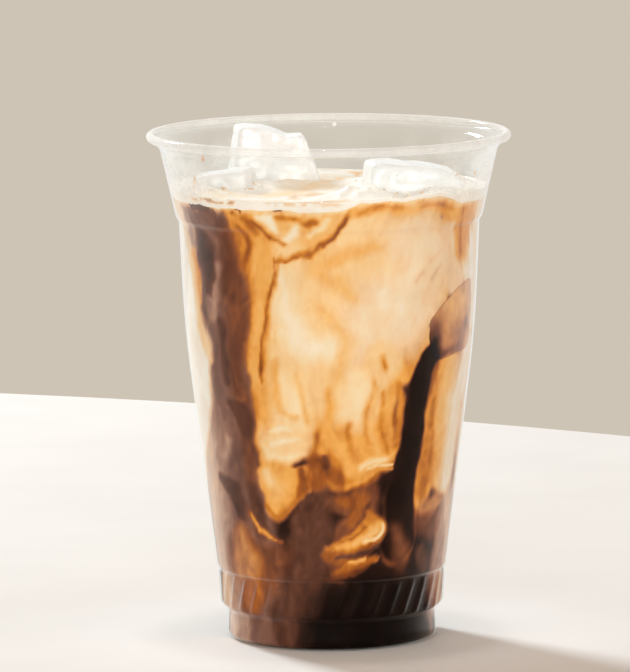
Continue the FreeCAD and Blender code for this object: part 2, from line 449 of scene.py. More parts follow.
def new_object(name, vertices, faces, material, smooth=True):
    """A mesh object in the scene, from points in metres."""
    mesh = bpy.data.meshes.new(name)
    mesh.from_pydata([tuple(v) for v in vertices], [], faces)
    mesh.update()
    mesh.polygons.foreach_set("use_smooth", [smooth] * len(mesh.polygons))
    if material:
        mesh.materials.append(material)
    piece = bpy.data.objects.new(name, mesh)
    bpy.context.scene.collection.objects.link(piece)
    return piece


def turned_skin(name, rows, material):
    """A closed skin from rings of points, lowest first, with one point at each end. Rows in millimetres."""
    around = rows[1].shape[0]
    vertices = np.vstack([rows[0][:1], *rows[1:-1], rows[-1][:1]]) * MM
    sides = [(k, (k + 1) % around) for k in range(around)]
    faces = [(0, 1 + after, 1 + k) for k, after in sides]
    last = 1 + (len(rows) - 3) * around
    for a in range(1, last, around):
        b = a + around
        faces += [(a + k, a + after, b + after, b + k) for k, after in sides]
    faces += [(last + k, last + after, last + around) for k, after in sides]
    return new_object(name, vertices, faces, material)


def set_attributes(piece, **fields):
    """Gives each point of the mesh numbers that a material or a tree can read."""
    for name, values in fields.items():
        layer = piece.data.attributes.new(name, "FLOAT", "POINT")
        layer.data.foreach_set("value", np.asarray(values, dtype=np.float32))


def vertices_of(piece):
    """A piece's vertices in millimetres."""
    flat = np.empty(len(piece.data.vertices) * 3)
    piece.data.vertices.foreach_get("co", flat)
    return flat.reshape(-1, 3) / MM


def move_vertices(mesh, points):
    """Puts a mesh's vertices at points in millimetres."""
    mesh.vertices.foreach_set("co", (points * MM).ravel())


def angle_of(points):
    """Angle from the front (-Y) towards +X, in degrees."""
    return np.degrees(np.arctan2(points[:, 0], -points[:, 1]))


def reach_of(points):
    """Distance from the cup's axis."""
    return np.hypot(points[:, 0], points[:, 1])


def keep_within(points, limit):
    """Draws points that lie further from the axis than the limit back to it."""
    points[:, :2] *= np.minimum(1.0, limit / reach_of(points))[:, None]


def gather(shape, points, vertices, faces):
    """Adds a shape's faces to the lists, with its points in millimetres where they now are, and frees it."""
    first = len(vertices)
    vertices += list(points * MM)
    faces += [tuple(first + v.index for v in face.verts) for face in shape.faces]
    shape.free()


# ---------------------------------------------------------------- marbling on the drink's side

ARC = 0.65  # millimetres of wall per degree, near the drink's middle height
FAR = 1e9

# The strokes of the front give way to those of the back at this angle on either side, over this many degrees
SEAM_ANGLE = 93.0
SEAM_FADE = 7.0

# Coffee that the milk hasn't reached yet: the angle in its middle, and for the foot and the heel under it
# the heights and the angles over which it sets in, and how much of the milk it takes away
DARK_MIDDLE = 26
DARK_ZONES = [((26.0, 14.0), (54.0, 8.0), 0.85), ((13.0, 6.0), (52.0, 24.0), 0.90)]

# How milky and how warm each shade of the marbling is
BLACK = (0.03, 0.40)
DARK = (0.16, 0.15)
UMBER = (0.22, 0.30)
# The next shade is dark coffee under a painted grey sheen of reflection.
COFFEE_UNDER_PAINTED_SHEEN = (0.32, 0.08)
PALE_HAZE = (0.50, 0.08)
MIST = (0.66, 0.10)
RUST = (0.27, 0.60)
BROWN = (0.34, 0.90)
CARAMEL = (0.47, 0.60)
AMBER = (0.44, 1.00)
ORANGE = (0.56, 1.00)
ORANGE_LIGHT = (0.61, 1.00)
APRICOT = (0.66, 0.95)
PEACH = (0.77, 0.75)
TAN = (0.79, 0.25)
BLUSH = (0.85, 0.45)
FOAM_BLUSH = (0.915, 0.35)
CREAM = (0.87, 0.78)
PALE = (0.94, 0.65)
WHITE = (0.97, 0.25)
CURDS = (0.90, 0.75)
WALL_FOAM = (0.985, 0.25)

# Strokes of milk and coffee, in the order in which they lie over each other.
# Each is: shade, softness of its edge, and its line as angle, height and half-width.
LEFT_STROKES = [
    # First the dark band on the left: dark coffee with a painted grey sheen of reflection over it.
    (COFFEE_UNDER_PAINTED_SHEEN, 3, [(-50, 124, 10.5), (-46, 95, 8.5), (-45, 75, 8), (-49, 60, 9.5), (-49, 45, 11), (-44, 25, 13),
        (-50, 6, 14)]),
    (RUST, 5, [(-41, 112, 3.8), (-39, 92, 4), (-41, 76, 3.4), (-39, 60, 2.4), (-38, 46, 2)]),
    (PALE_HAZE, 7, [(-64, 66, 3), (-62, 46, 4.4), (-61, 30, 4.4), (-60, 14, 4.4), (-57, 2, 4)]),
    (MIST, 7, [(-75, 64, 6.5), (-73, 46, 7), (-74, 30, 6), (-74, 12, 6.5), (-74, 2, 5)]),
    (PALE_HAZE, 2.5, [(-48, 104, 1.6), (-51, 97, 2.2), (-53, 90, 1.6)]),
    (PALE_HAZE, 2.5, [(-51, 56, 1.5), (-58, 48, 1.2)]),
    (UMBER, 1.6, [(-60, 111, 2.2), (-56, 108, 4.2), (-53, 102, 3.2), (-54, 97, 1.2)]),
    (DARK, 2.4, [(-58, 110, 1.4), (-55, 107, 2.6), (-53, 102, 1.2)]),
    (UMBER, 1.4, [(-64, 118.6, 1.2), (-52, 119, 1.6)]),
    (UMBER, 1.8, [(-48, 88, 1.7), (-48, 73, 1.6)]),
    (UMBER, 1.8, [(-47, 66, 2), (-41, 64, 3.4), (-39, 60, 2.4)]),
    (UMBER, 2.2, [(-60, 46, 1.4), (-51, 42, 3.2), (-46, 36, 2.6)]),
    (UMBER, 3, [(-38, 44, 2), (-36, 34, 3)]),
    (TAN, 3, [(-78, 124, 6), (-77, 110, 8.4), (-76, 100, 8)]),
    (PALE_HAZE, 3, [(-67, 122, 2.4), (-67, 112, 1.8), (-64, 106, 1)]),
    (WHITE, 3.2, [(-84, 112, 4), (-78, 94, 9.5), (-74, 82, 11), (-74, 71, 9.6), (-82, 61, 8), (-92, 46, 6)]),
    (PEACH, 3, [(-68, 105, 2.4), (-63, 97, 2), (-62, 88, 1.4), (-58, 78, 0.9)]),
    (ORANGE, 2.4, [(-66, 106, 1.2), (-62, 101, 1.4), (-60.5, 95, 1)]),
    (WHITE, 7, [(-98, 124, 7), (-96, 96, 9), (-94, 70, 8), (-96, 52, 5)]),
]
BOTTOM_STROKES = [
    (UMBER, 4, [(-6, 45, 3.5), (-10, 34, 6.5), (-10, 22, 6), (-22, 8, 9)]),
    (RUST, 5, [(-54, 24, 6), (-38, 22, 8), (-24, 27, 3.6), (-46, 12, 4)]),
    (BROWN, 5, [(-48, 29, 4), (-43, 22, 5), (-48, 12, 3)]),
    (CARAMEL, 6, [(-54, 28, 2.4), (-52, 20, 3)]),
    (AMBER, 6, [(-44, 24, 1), (-42, 16, 1.4), (-45, 11, 0.6)]),
    (CARAMEL, 6, [(-50, 30, 2), (-46, 23, 3.6), (-50, 14, 1.2)]),
    (BROWN, 1, [(-41, 36, 0.9), (-35, 33, 0.9), (-24, 31.5, 0.6)]),
    (ORANGE, 0.9, [(-40, 35.6, 0.4), (-36, 33.2, 0.5), (-27, 31.6, 0.3)]),
]
PLUME_STROKES = [
    (AMBER, 2.4, [(-36, 124, 5), (-33, 112, 4.6), (-28.5, 103, 3.6), (-27.5, 96, 3.2), (-28.5, 88, 3.4),
        (-30, 83, 3.6), (-27.5, 76, 3.4), (-27.5, 68, 4.4), (-28.5, 58, 4.6)]),
    (ORANGE_LIGHT, 2.5, [(-28, 121, 4), (-25, 108, 4.2), (-23.5, 95, 4.5), (-27.5, 84, 3.8),
        (-24.5, 70, 4.8), (-26, 58, 4.6)]),
    (ORANGE, 2.2, [(-25, 56, 5.6), (-24, 46, 5), (-27, 39, 3), (-18, 43, 3)]),
    (BROWN, 2.5, [(6, 66, 6), (3, 54, 8.5), (14, 52, 7), (22, 52, 4)]),
    (AMBER, 2.5, [(3, 62, 7), (4, 52, 6.5), (16, 54, 6), (25, 54, 2.8)]),
    (ORANGE, 3, [(8, 124, 12), (34, 119, 10), (50, 116, 6.5), (48, 104, 8), (36, 90, 8), (31, 76, 4)]),
    (ORANGE, 3, [(4, 80, 16), (6, 72, 15), (14, 60, 9.5), (24, 56, 4)]),
    (APRICOT, 4, [(-4, 112, 11), (4, 90, 17), (4, 76, 12)]),
    (PEACH, 4.5, [(-17, 110, 3), (-14, 98, 5.5), (-15, 84, 6), (-15, 72, 5.8), (-17, 62, 6)]),
    (PEACH, 6, [(16, 112, 8), (10, 98, 13), (8, 84, 14), (6, 72, 10)]),
    (TAN, 9, [(34, 112, 8.5), (46, 108, 6), (40, 98, 8), (30, 90, 8.5), (20, 92, 9), (14, 78, 5)]),
    (BLUSH, 7, [(38, 108, 4), (30, 96, 5), (16, 88, 4.5), (4, 82, 3)]),
    (TAN, 3, [(54, 112, 3.4), (56, 102, 4.4), (60, 97, 3.6)]),
    (PEACH, 4, [(22, 80, 5), (14, 70, 5.5), (12, 64, 3.5)]),
    (APRICOT, 4.5, [(-6, 104, 1.4), (4, 101, 2.4), (10, 96, 1.2)]),
    (APRICOT, 5, [(-4, 95, 1), (6, 84, 1.4), (2, 74, 1)]),
    (APRICOT, 3.5, [(-4, 106, 2), (8, 108, 2.5), (18, 110, 1.5)]),
    (APRICOT, 2.6, [(-28, 120, 2.4), (-20, 117, 2.2), (-8, 116.5, 2.4), (2, 119, 2.4)]),
    (PALE, 7, [(-19, 101, 1.6), (-17, 92, 3), (-12, 85, 3.6), (-3, 83, 2.6)]),
    (CREAM, 7, [(-20, 74, 2), (-15, 70, 3), (-12, 63, 2.4)]),
    (CREAM, 5, [(10, 74, 2.6), (9, 66, 2.6)]),
    (PEACH, 6, [(-30, 59, 2.4), (-26, 57, 3.6), (-17, 56.6, 3.8), (-10, 58, 2.4)]),
    (CREAM, 3.4, [(-31.6, 56.6, 0.5), (-27, 53.4, 1.2), (-18, 52.6, 1.4), (-11, 55, 0.6)]),
    (PALE, 2, [(-26, 56.6, 0.3), (-20, 58, 0.6), (-14, 58.6, 0.3)]),
    (PALE, 2, [(-27, 60.6, 0.2), (-22, 61.6, 0.5), (-17, 61.2, 0.2)]),
    (ORANGE, 1.2, [(-31.6, 49, 1.8), (-26.6, 45.4, 4.4), (-19, 45, 5), (-13.6, 47, 3.6), (-9, 50, 2.2)]),
    (BROWN, 3, [(-5, 60, 0.8), (-4, 53, 2.4), (-7, 47, 2.2)]),
]
DETAIL_STROKES = [
    (APRICOT, 5, [(-29, 47, 3), (-23, 44, 3), (-27, 39.5, 1.4)]),
    (PEACH, 3, [(-30, 48.6, 1), (-27, 46, 1.2)]),
    (AMBER, 1.2, [(-31, 39, 0.7), (-26, 36.6, 0.8), (-20, 38.4, 0.7), (-13, 42, 0.7), (-11, 47, 0.9)]),
    (BROWN, 1.6, [(-12, 50, 0.8), (-11.5, 46, 1.2), (-14, 42, 0.7)]),
    (ORANGE_LIGHT, 2.6, [(8, 51, 2.2), (14, 50.5, 2.2), (22, 52.5, 2), (27, 54, 1)]),
    (CREAM, 2, [(13, 51.4, 0.7), (18, 52.6, 0.8), (23, 52.8, 0.6)]),
    (ORANGE, 1.2, [(6, 47, 0.8), (13, 48, 0.7), (20, 50, 0.7), (27, 49.4, 0.6)]),
    (CREAM, 0.8, [(16, 50.4, 0.25), (19.6, 51.4, 0.4), (23, 50.6, 0.35), (27, 50.8, 0.3)]),
    (AMBER, 1.6, [(29, 72, 1), (31, 66, 1.6), (29, 56, 1)]),
    (BROWN, 1.2, [(31.6, 70, 0.4), (33, 62, 0.6), (31, 54, 0.4)]),
    (APRICOT, 2.4, [(19, 72, 0.8), (18, 62, 0.9), (20, 55, 0.8)]),
    (AMBER, 1.8, [(22, 70, 0.5), (22.5, 60, 0.6), (25, 55, 0.6)]),
    (AMBER, 3, [(17, 74, 0.3), (15, 66, 0.6), (17, 58, 0.6)]),
    (AMBER, 2, [(9, 62, 0.4), (9, 56, 0.8)]),
    (ORANGE, 2.6, [(0, 72, 0.8), (0, 62, 1.5), (-3, 56, 1.8)]),
    (ORANGE_LIGHT, 3, [(-14, 76, 0.3), (-12, 70, 0.7), (-10, 64, 0.6)]),
    (ORANGE_LIGHT, 2.4, [(-22, 80, 0.4), (-23, 72, 0.8), (-22, 66, 0.6), (-14, 65, 0.4)]),
    (BROWN, 1.8, [(-7, 52, 1.2), (-3, 50, 1.8), (3, 49, 1.6)]),
    (RUST, 1, [(-3, 54, 0.5), (-2, 51.6, 0.9)]),
    (ORANGE, 2.2, [(21.6, 80, 0.6), (22.4, 76.6, 0.9)]),
    (AMBER, 1.6, [(22, 78.6, 0.3), (22.6, 76.8, 0.4)]),
    (BROWN, 1.2, [(27.4, 66, 0.5), (28, 63, 0.7)]),
    (AMBER, 1.6, [(-19.5, 107, 0.3), (-22, 102, 0.5), (-24.5, 97, 0.6), (-26, 91, 0.7), (-27, 85, 0.6),
        (-26.6, 79, 0.6), (-26.2, 74.6, 0.1)]),
    (BROWN, 0.9, [(-22, 107, 0.1), (-22.8, 102.5, 0.15), (-24.6, 97, 0.2), (-26.6, 91, 0.2),
        (-27.6, 85, 0.2), (-27.4, 81, 0.2), (-27, 78, 0.5), (-26.8, 74.6, 0.05)]),
    (CREAM, 1.2, [(-20, 100, 0.2), (-22.6, 93, 0.3), (-24, 86, 0.2)]),
    (AMBER, 1.4, [(-22, 106, 0.5), (-15, 106.4, 0.6), (-8, 107.8, 0.6)]),
    (BROWN, 0.9, [(-22, 105.8, 0.15), (-15, 106, 0.2), (-8, 107.2, 0.2)]),
    (BROWN, 1.6, [(-8, 107.8, 0.3), (-3, 110.6, 0.6), (2, 113.2, 0.8), (6, 116.6, 1), (9, 119.6, 1.1)]),
    (RUST, 0.9, [(-3, 110, 0.15), (2, 112.8, 0.25), (6, 116.2, 0.35), (8, 118.6, 0.2)]),
    (ORANGE, 2.6, [(-40, 119, 2), (-34, 117, 3), (-33, 111, 2)]),
    (AMBER, 2, [(-40, 119, 1.2), (-33, 119, 1.2), (-30, 114, 1.4)]),
    (BROWN, 1.4, [(-38, 118.8, 0.8), (-31, 119, 0.7)]),
    (BROWN, 2.4, [(-36, 114, 0.6), (-32, 110, 0.9), (-34, 104, 0.5)]),
    (PALE, 2, [(-26, 117.8, 0.9), (-22, 117, 1.6), (-20, 114.6, 0.7)]),
    (PALE, 2, [(-17, 111.6, 0.8), (-14, 113, 1.3), (-12, 115, 0.7)]),
    (AMBER, 1.4, [(-19, 117.6, 0.8), (-11, 117.4, 0.8)]),
    (BROWN, 1.6, [(-29, 116.4, 0.3), (-24, 113.4, 0.6), (-18, 110, 0.4)]),
    (AMBER, 1.6, [(-9, 115.6, 1), (-6, 116, 1.3)]),
    (CREAM, 1.8, [(-8, 112.4, 0.6), (-4, 114.4, 0.7), (-1, 117.4, 0.5)]),
    (ORANGE_LIGHT, 3, [(10, 119, 2), (18, 121.4, 1.8), (30, 121.6, 1.8), (44, 121, 1.6), (54, 119.2, 1)]),
    (AMBER, 2.4, [(12, 118.4, 0.7), (17, 120.8, 1), (26, 121.6, 0.6)]),
    (AMBER, 2, [(36, 121.2, 0.4), (46, 121.2, 0.8), (54, 119.4, 0.5)]),
    (TAN, 1.4, [(36, 100, 0.8), (40, 102.4, 1.1), (44, 105.6, 1.2), (48, 106, 0.8)]),
    (MIST, 1.8, [(36.5, 99.6, 0.3), (39.5, 101.8, 0.4)]),
    (MIST, 2, [(42.5, 104.6, 0.4), (46, 106, 0.5)]),
    (MIST, 1.8, [(45, 100.4, 0.4), (47, 102.6, 0.3)]),
    (PALE_HAZE, 1.4, [(45, 117.6, 0.3), (46.4, 117, 0.4)]),
]
RIGHT_STROKES = [
    (APRICOT, 2.5, [(62, 124, 3), (64, 108, 3.6), (72, 100, 4)]),
    (ORANGE, 2, [(62.5, 124, 4.4), (63, 113, 4.6), (61.6, 106, 3)]),
    (AMBER, 2, [(59.6, 121, 0.7), (60.4, 112, 0.6), (62, 106, 0.8)]),
    (APRICOT, 3, [(68, 119, 2.6), (75, 117, 4.2), (84, 117, 4.2)]),
    (BLUSH, 4, [(82, 124, 6.4), (81, 108, 6), (80, 98, 8)]),
    (FOAM_BLUSH, 4, [(66, 101, 2.4), (72, 100, 4.2), (80, 90, 6.4)]),
    # A painted highlight: the pale streak near the right edge.
    (WHITE, 2, [(70.6, 112, 0.8), (73, 108, 1.8), (75, 101, 2.4)]),
    (BROWN, 2, [(58, 78.5, 1.8), (48, 79, 3.6), (42.5, 72, 4.8), (41, 62, 5), (38, 50, 5.2), (35, 40, 6.2),
        (33, 28, 6)]),
    (BLACK, 1.6, [(64, 80, 0.8), (54, 79.6, 1.6), (47.5, 79.6, 2.8), (43.5, 79, 3.4), (40, 72, 3.6),
        (38.4, 62, 3.9), (36, 52, 4.2), (33.6, 42, 4.8), (33, 30, 6)]),
    (ORANGE, 2.4, [(56, 76, 3.4), (52, 66, 4), (50, 54, 4.6), (47.5, 45, 4.4), (46, 40.5, 3)]),
    (AMBER, 2, [(50, 66, 0.8), (49.5, 60, 2), (46.5, 52, 2.6), (44.5, 42, 2.4)]),
    (APRICOT, 4, [(62, 78, 2.4), (58, 68, 4), (58, 54, 3.6), (56, 44, 2.6)]),
    (FOAM_BLUSH, 6, [(76, 80, 5), (69, 66, 5.6), (68, 54, 5.4), (66, 43, 5)]),
    (BLUSH, 6, [(92, 78, 7), (86, 62, 6), (86, 50, 5), (84, 42, 3)]),
    (RUST, 4, [(46, 34, 3), (54, 33, 4.4), (60, 32, 3.6)]),
    (CARAMEL, 3, [(47, 38, 2), (56, 38.4, 2.4), (64, 39, 1.6)]),
    (PALE_HAZE, 5, [(66, 36, 3), (66, 24, 3.8), (66, 12, 3.6), (72, 2, 2)]),
    (MIST, 4, [(70, 40, 1.8), (72, 34, 2.2)]),
    (UMBER, 3, [(48, 26, 2.4), (54, 21, 2.6)]),
    (MIST, 5, [(78, 38, 4.4), (78, 24, 4.6), (80, 10, 5)]),
    (BLUSH, 7, [(98, 124, 8), (96, 104, 8), (95, 84, 6), (96, 70, 4)]),
]
SWIRL_STROKES = [
    (RUST, 2.4, [(2, 42, 3.2), (10, 41, 4.6), (19, 44, 2.6), (22, 41, 1.4), (10, 33, 6.4), (4, 25, 4.2)]),
    (BROWN, 2.4, [(4, 43, 2), (14, 42.5, 2.6), (8, 36, 2)]),
    (BROWN, 1.4, [(-3, 26, 1.8), (4, 27, 3.4), (12, 30, 4.4), (20, 34, 4), (19, 37.8, 1.6)]),
    (BROWN, 1.2, [(1, 20.6, 1.4), (8, 22.6, 2.4), (16, 25, 1.8), (22, 26.4, 0.8)]),
    (AMBER, 1.4, [(-3, 28, 0.8), (6, 29.6, 2), (14, 32, 2.8), (20, 36, 2), (18, 38.4, 0.8)]),
    (RUST, 0.9, [(8, 33.6, 0.25), (13, 35.4, 0.35), (17, 38.2, 0.35)]),
    (BROWN, 0.9, [(4, 30.2, 0.2), (12, 32.2, 0.3), (18, 34.8, 0.2)]),
    (ORANGE, 1.2, [(2, 28.4, 0.7), (10, 30, 1), (17, 32.4, 1.2), (22, 35.6, 1)]),
    (APRICOT, 1, [(9, 29.8, 0.4), (16, 31.6, 0.6), (21, 34.2, 0.6)]),
    (CREAM, 0.8, [(14, 30.2, 0.25), (20, 31.4, 0.5), (23.6, 33.6, 0.6), (23.6, 35.4, 0.35)]),
    (UMBER, 0.8, [(2, 25.4, 0.4), (10, 26.8, 0.6), (18, 28, 0.5), (22, 29.6, 0.4)]),
    (AMBER, 0.9, [(2, 21.4, 0.5), (9, 23.8, 1.3), (16, 25.4, 1.1), (22, 25.8, 0.4)]),
    (APRICOT, 0.7, [(8, 24.4, 0.5), (15, 26, 0.6)]),
    (RUST, 1.4, [(-2, 19, 0.8), (5, 18.4, 0.9)]),
    (RUST, 6, [(31, 33, 1.6), (35, 27, 3.4), (36, 21, 2)]),
]
FRONT_STROKES = [*LEFT_STROKES, *BOTTOM_STROKES, *PLUME_STROKES, *DETAIL_STROKES, *RIGHT_STROKES,
                 *SWIRL_STROKES]

# The back has a wide and a narrow sheet of milk, dark gaps between them and curls near the bottom
BACK_STROKES = [
    # Dark coffee with a painted grey sheen of reflection, as on the front.
    (COFFEE_UNDER_PAINTED_SHEEN, 5, [(-84, 124, 4), (-70, 96, 6), (-62, 70, 7), (-66, 44, 8), (-60, 20, 8)]),
    (UMBER, 3, [(-56, 110, 2), (-54, 90, 3), (-56, 70, 2)]),
    (RUST, 4, [(-50, 126, 8), (-44, 100, 8), (-40, 78, 7.6), (-34, 56, 6.6), (-38, 46, 3.4)]),
    (AMBER, 2.6, [(-48, 126, 7), (-42, 100, 6.6), (-38, 78, 6.4), (-33, 58, 5.4), (-37, 50, 2.4)]),
    (ORANGE, 3, [(-45, 126, 6), (-39, 102, 5.6), (-36, 80, 5), (-32, 62, 4)]),
    (PEACH, 4.5, [(-44, 124, 4), (-38, 104, 4.2), (-36, 86, 3.4), (-33, 68, 2.4)]),
    (PALE, 4, [(-42, 112, 1.2), (-39, 98, 2), (-37, 84, 1.2)]),
    (BROWN, 1, [(-47, 104, 0.2), (-43, 92, 0.4), (-42, 80, 0.4), (-38, 70, 0.5)]),
    (RUST, 4, [(18, 126, 24), (14, 104, 20), (4, 84, 15), (-4, 66, 9), (-12, 56, 5)]),
    (RUST, 4, [(26, 96, 13), (32, 76, 9), (30, 52, 7), (22, 38, 4.4)]),
    (AMBER, 2.6, [(18, 126, 22.6), (14, 104, 18.6), (5, 85, 13.6), (-3, 68, 7.6), (-10, 60, 3.6)]),
    (AMBER, 2.6, [(26, 96, 11.6), (32, 76, 7.6), (30, 54, 5.6), (24, 42, 3.4)]),
    (ORANGE, 3.5, [(18, 126, 20), (15, 105, 16), (7, 88, 11), (0, 72, 5.4)]),
    (ORANGE, 3.5, [(27, 98, 9.4), (32, 78, 5.6), (30, 58, 3.8)]),
    (PEACH, 6, [(20, 124, 15), (17, 106, 12), (12, 92, 7), (6, 80, 3)]),
    (PEACH, 4, [(29, 96, 6), (32, 80, 3.4), (30, 62, 1.8)]),
    (BLUSH, 8, [(26, 118, 8), (22, 104, 7), (28, 92, 4)]),
    (PALE, 6, [(8, 116, 1.6), (6, 104, 2.6), (12, 96, 2), (20, 96, 1)]),
    (APRICOT, 4, [(-2, 108, 1), (0, 98, 1.4), (8, 90, 0.8)]),
    (AMBER, 1.6, [(38, 120, 0.5), (32, 110, 0.9), (22, 108, 0.7), (14, 112, 0.4)]),
    (BROWN, 1, [(38, 118, 0.2), (32, 108.8, 0.4), (23, 107, 0.3)]),
    (BROWN, 1.2, [(12, 84, 0.3), (10, 76, 0.7), (4, 70, 0.5)]),
    (AMBER, 1.6, [(24, 86, 0.4), (26, 74, 0.7), (27, 62, 0.5)]),
    (RUST, 3, [(64, 126, 7), (60, 106, 5.6), (64, 90, 4.6), (60, 78, 3)]),
    (ORANGE, 3, [(66, 126, 5.6), (62, 108, 4.2), (65, 94, 3)]),
    (PEACH, 4, [(67, 124, 3.6), (63, 110, 2.6), (66, 98, 1.6)]),
    (BLUSH, 6, [(88, 126, 9), (86, 100, 8), (90, 76, 6), (86, 58, 3)]),
    (ORANGE, 3, [(80, 92, 1.6), (82, 74, 1.8), (82, 60, 1.4)]),
    (RUST, 3, [(-20, 38, 3.6), (-8, 30, 5), (6, 26, 4.6), (16, 20, 3)]),
    (BROWN, 1.6, [(-21, 38, 2.4), (-12, 31, 3.4), (2, 26.4, 3.2), (12, 22, 1.8)]),
    (AMBER, 1.4, [(-21, 38.6, 1.6), (-14, 32.6, 2.2), (-2, 28, 2), (8, 24.4, 1)]),
    (APRICOT, 1.2, [(-20, 38.4, 0.8), (-14, 33.6, 1.2), (-4, 29.4, 1)]),
    (CREAM, 0.8, [(-18, 36.8, 0.3), (-12, 33.4, 0.6), (-4, 30.4, 0.4)]),
    (UMBER, 0.9, [(-16, 31.4, 0.4), (-6, 27.2, 0.5), (4, 24.6, 0.4)]),
    (RUST, 4, [(46, 40, 2.4), (54, 34, 3.6), (50, 24, 3)]),
    (AMBER, 4, [(50, 36, 1), (53, 30, 1.4)]),
]


def stretch_gap(x, y, run_x, run_y, first_width, last_width):
    """Distance outside one straight stretch of a stroke, from its start, negative inside it."""
    share = np.clip((x * run_x + y * run_y) / (run_x ** 2 + run_y ** 2), 0.0, 1.0)
    width = first_width + (last_width - first_width) * share
    return np.hypot(x - share * run_x, y - share * run_y) - width


def stroke_distance(angle, height, line):
    """Distance outside a stroke of changing width on the drink's side, negative inside it."""
    nearest = np.full(len(angle), FAR)
    for (a0, z0, w0), (a1, z1, w1) in zip(line, line[1:]):
        turn = (angle - (a0 + a1) / 2 + 180.0) % 360.0 - 180.0
        run_a = (a1 - a0) * ARC
        gap = stretch_gap(turn * ARC + run_a / 2, height - z0, run_a, z1 - z0, w0, w1)
        nearest = np.minimum(nearest, gap)
    return nearest


def lay_over(fields, values, cover):
    """Takes each field as far to its new value as the cover says."""
    for field, value in zip(fields, values):
        field += (value - field) * cover


def paint(fields, distance, shade, softness):
    """Lays a shade over the two fields wherever the distance says that it covers them."""
    lay_over(fields, shade, smooth_step(softness / 2, -softness / 2, distance))


def painted(points, angle, strokes, seed, reach):
    """The two fields after all strokes, bent by noise so that no edge runs straight."""
    bend = [layered_noise(points * (1, 1, 0.7), 13.0, seed + 7 * i, 4) for i in range(2)]
    fray = [layered_noise(points * (1, 1, 0.6), 3.4, seed + 50 + 7 * i, 3) for i in range(2)]
    angle = angle + (bend[0] * reach + fray[0] * 0.40) / ARC
    height = points[:, 2] + bend[1] * reach * 1.2 + fray[1] * 0.55
    slow = layered_noise(points * (1, 1, 0.5), 22.0, seed + 80, 3)
    fields = [0.09 + 0.05 * slow, 0.32 + 0.25 * slow]
    for shade, softness, line in strokes:
        paint(fields, stroke_distance(angle, height, line), shade, softness)
    folds = points * (1, 1, 0.4) + 5 * np.stack([bend[0], bend[1], bend[0]], 1)
    return *fields, folds


def curd_cover(points, angle, milk):
    """How much thin curds cover that hang from the floating milk, where there is milk under it."""
    order = np.argsort(RING_ANGLE)
    line = np.interp(angle, RING_ANGLE[order], milk_line()[order])
    hang = 1.6 + 1.8 * layered_noise(points * (1, 1, 0.3), 3.0, 151, 3)
    return 0.75 * smooth_step(1.0, 0.0, (line - points[:, 2]) / np.maximum(hang, 0.2)) * (milk > 0.3)


def milk_at_foot(points, angle):
    """The share of the milk that is left near the foot."""
    from_middle = np.abs(angle - DARK_MIDDLE + 9 * layered_noise(points, 9.0, 161, 3))
    left = np.ones(len(points))
    for heights, angles, taken in DARK_ZONES:
        left *= 1 - taken * smooth_step(*heights, points[:, 2]) * smooth_step(*angles, from_middle)
    return left


def marbling(points):
    """How milky and how warm the drink is at points of its side."""
    angle = angle_of(points)
    edge = np.abs(angle) - SEAM_ANGLE + 7.0 * layered_noise(points, 16.0, 5, 3)
    behind = smooth_step(-SEAM_FADE, SEAM_FADE, edge)
    milk, warmth, folds = painted(points, angle, FRONT_STROKES, 11, 1.3)
    *far_shades, far_folds = painted(points, (angle % 360.0) - 180.0, BACK_STROKES, 211, 2.4)
    lay_over((milk, warmth), far_shades, behind)
    folds += (far_folds - folds) * behind[:, None]
    threads = layered_noise(folds, 2.6, 131, 3)
    swirls = layered_noise(folds * (1, 1, 0.8), 7.0, 141, 3)
    busy = 0.35 + 2.6 * milk * (1 - milk)
    milk = milk + (threads * 0.045 + swirls * 0.06) * busy
    lay_over((milk, warmth), CURDS, curd_cover(points, angle, milk))
    milk *= milk_at_foot(points, angle)
    return np.clip(milk, 0.0, 1.0), np.clip(warmth + threads * 0.08, 0.0, 1.0)


# ---------------------------------------------------------------- the drink

AROUND = 432
RING_ANGLE = (np.arange(AROUND) * 360.0 / AROUND + 180.0) % 360.0 - 180.0

# Rows of the drink's skin: the first, the step inside the foot, and the height over which the step is finer.
# Over the flex height they bend towards the wavy line under the floating milk.
FIRST_ROW = 0.75
FOOT_ROW_STEP = 0.9
FINE_FROM = 8.0
ROW_STEP = 0.62
FLEX_HEIGHT = 108.0
FLOOR_STEP = 2.2

# The skin's top inside that line: shares of the radius and of the way down to its flat middle,
# and how far that lies under the drink's level
TOP_ROWS = [(0.995, 0.0), (0.98, 0.5), (0.95, 1.0), (0.8, 1.0), (0.5, 1.0), (0.2, 1.0), (0.0, 1.0)]
TOP_DEPTH = 2.2

# The line at which the floating milk ends at the wall: how deep it lies, and its climb at the front right
LINE_DEPTH = 1.6
LINE_CLIMB = 2.3

# The floating milk: how deep its underside lies, how far its lip climbs the wall, how much that waves and
# how far it stays over the line at least, the steps up its side, and the rings of its surface
MILK_DEPTH = 3.4
LIP_CLIMB = 0.7
LIP_WAVES = 0.25
LIP_OVER_LINE = 0.9
LIP_STEPS = 5
SURFACE_SHARES = [0.9985, 0.994, 0.985, 0.972, *np.linspace(0.955, 0.02, 58)]


def ring(radius, height):
    """One ring of points, with the front first. Radius and height may change along the ring."""
    angle = np.radians(np.arange(AROUND) * 360.0 / AROUND)
    return np.stack([radius * np.sin(angle), 0.0 - radius * np.cos(angle), height + 0 * angle], 1)


def milk_line():
    """Height all round at which the floating milk ends at the wall."""
    way = np.radians(RING_ANGLE)
    circle = np.stack([np.sin(way), -np.cos(way), 0 * way], 1) * 41.5
    wavy = layered_noise(circle, 7.0, 301, 3) * 0.45 + layered_noise(circle, 1.8, 311, 2) * 0.16
    climb = plateau(4.0, 13.0, 44.0, 58.0, RING_ANGLE)
    return DRINK_LEVEL - LINE_DEPTH + wavy + LINE_CLIMB * climb


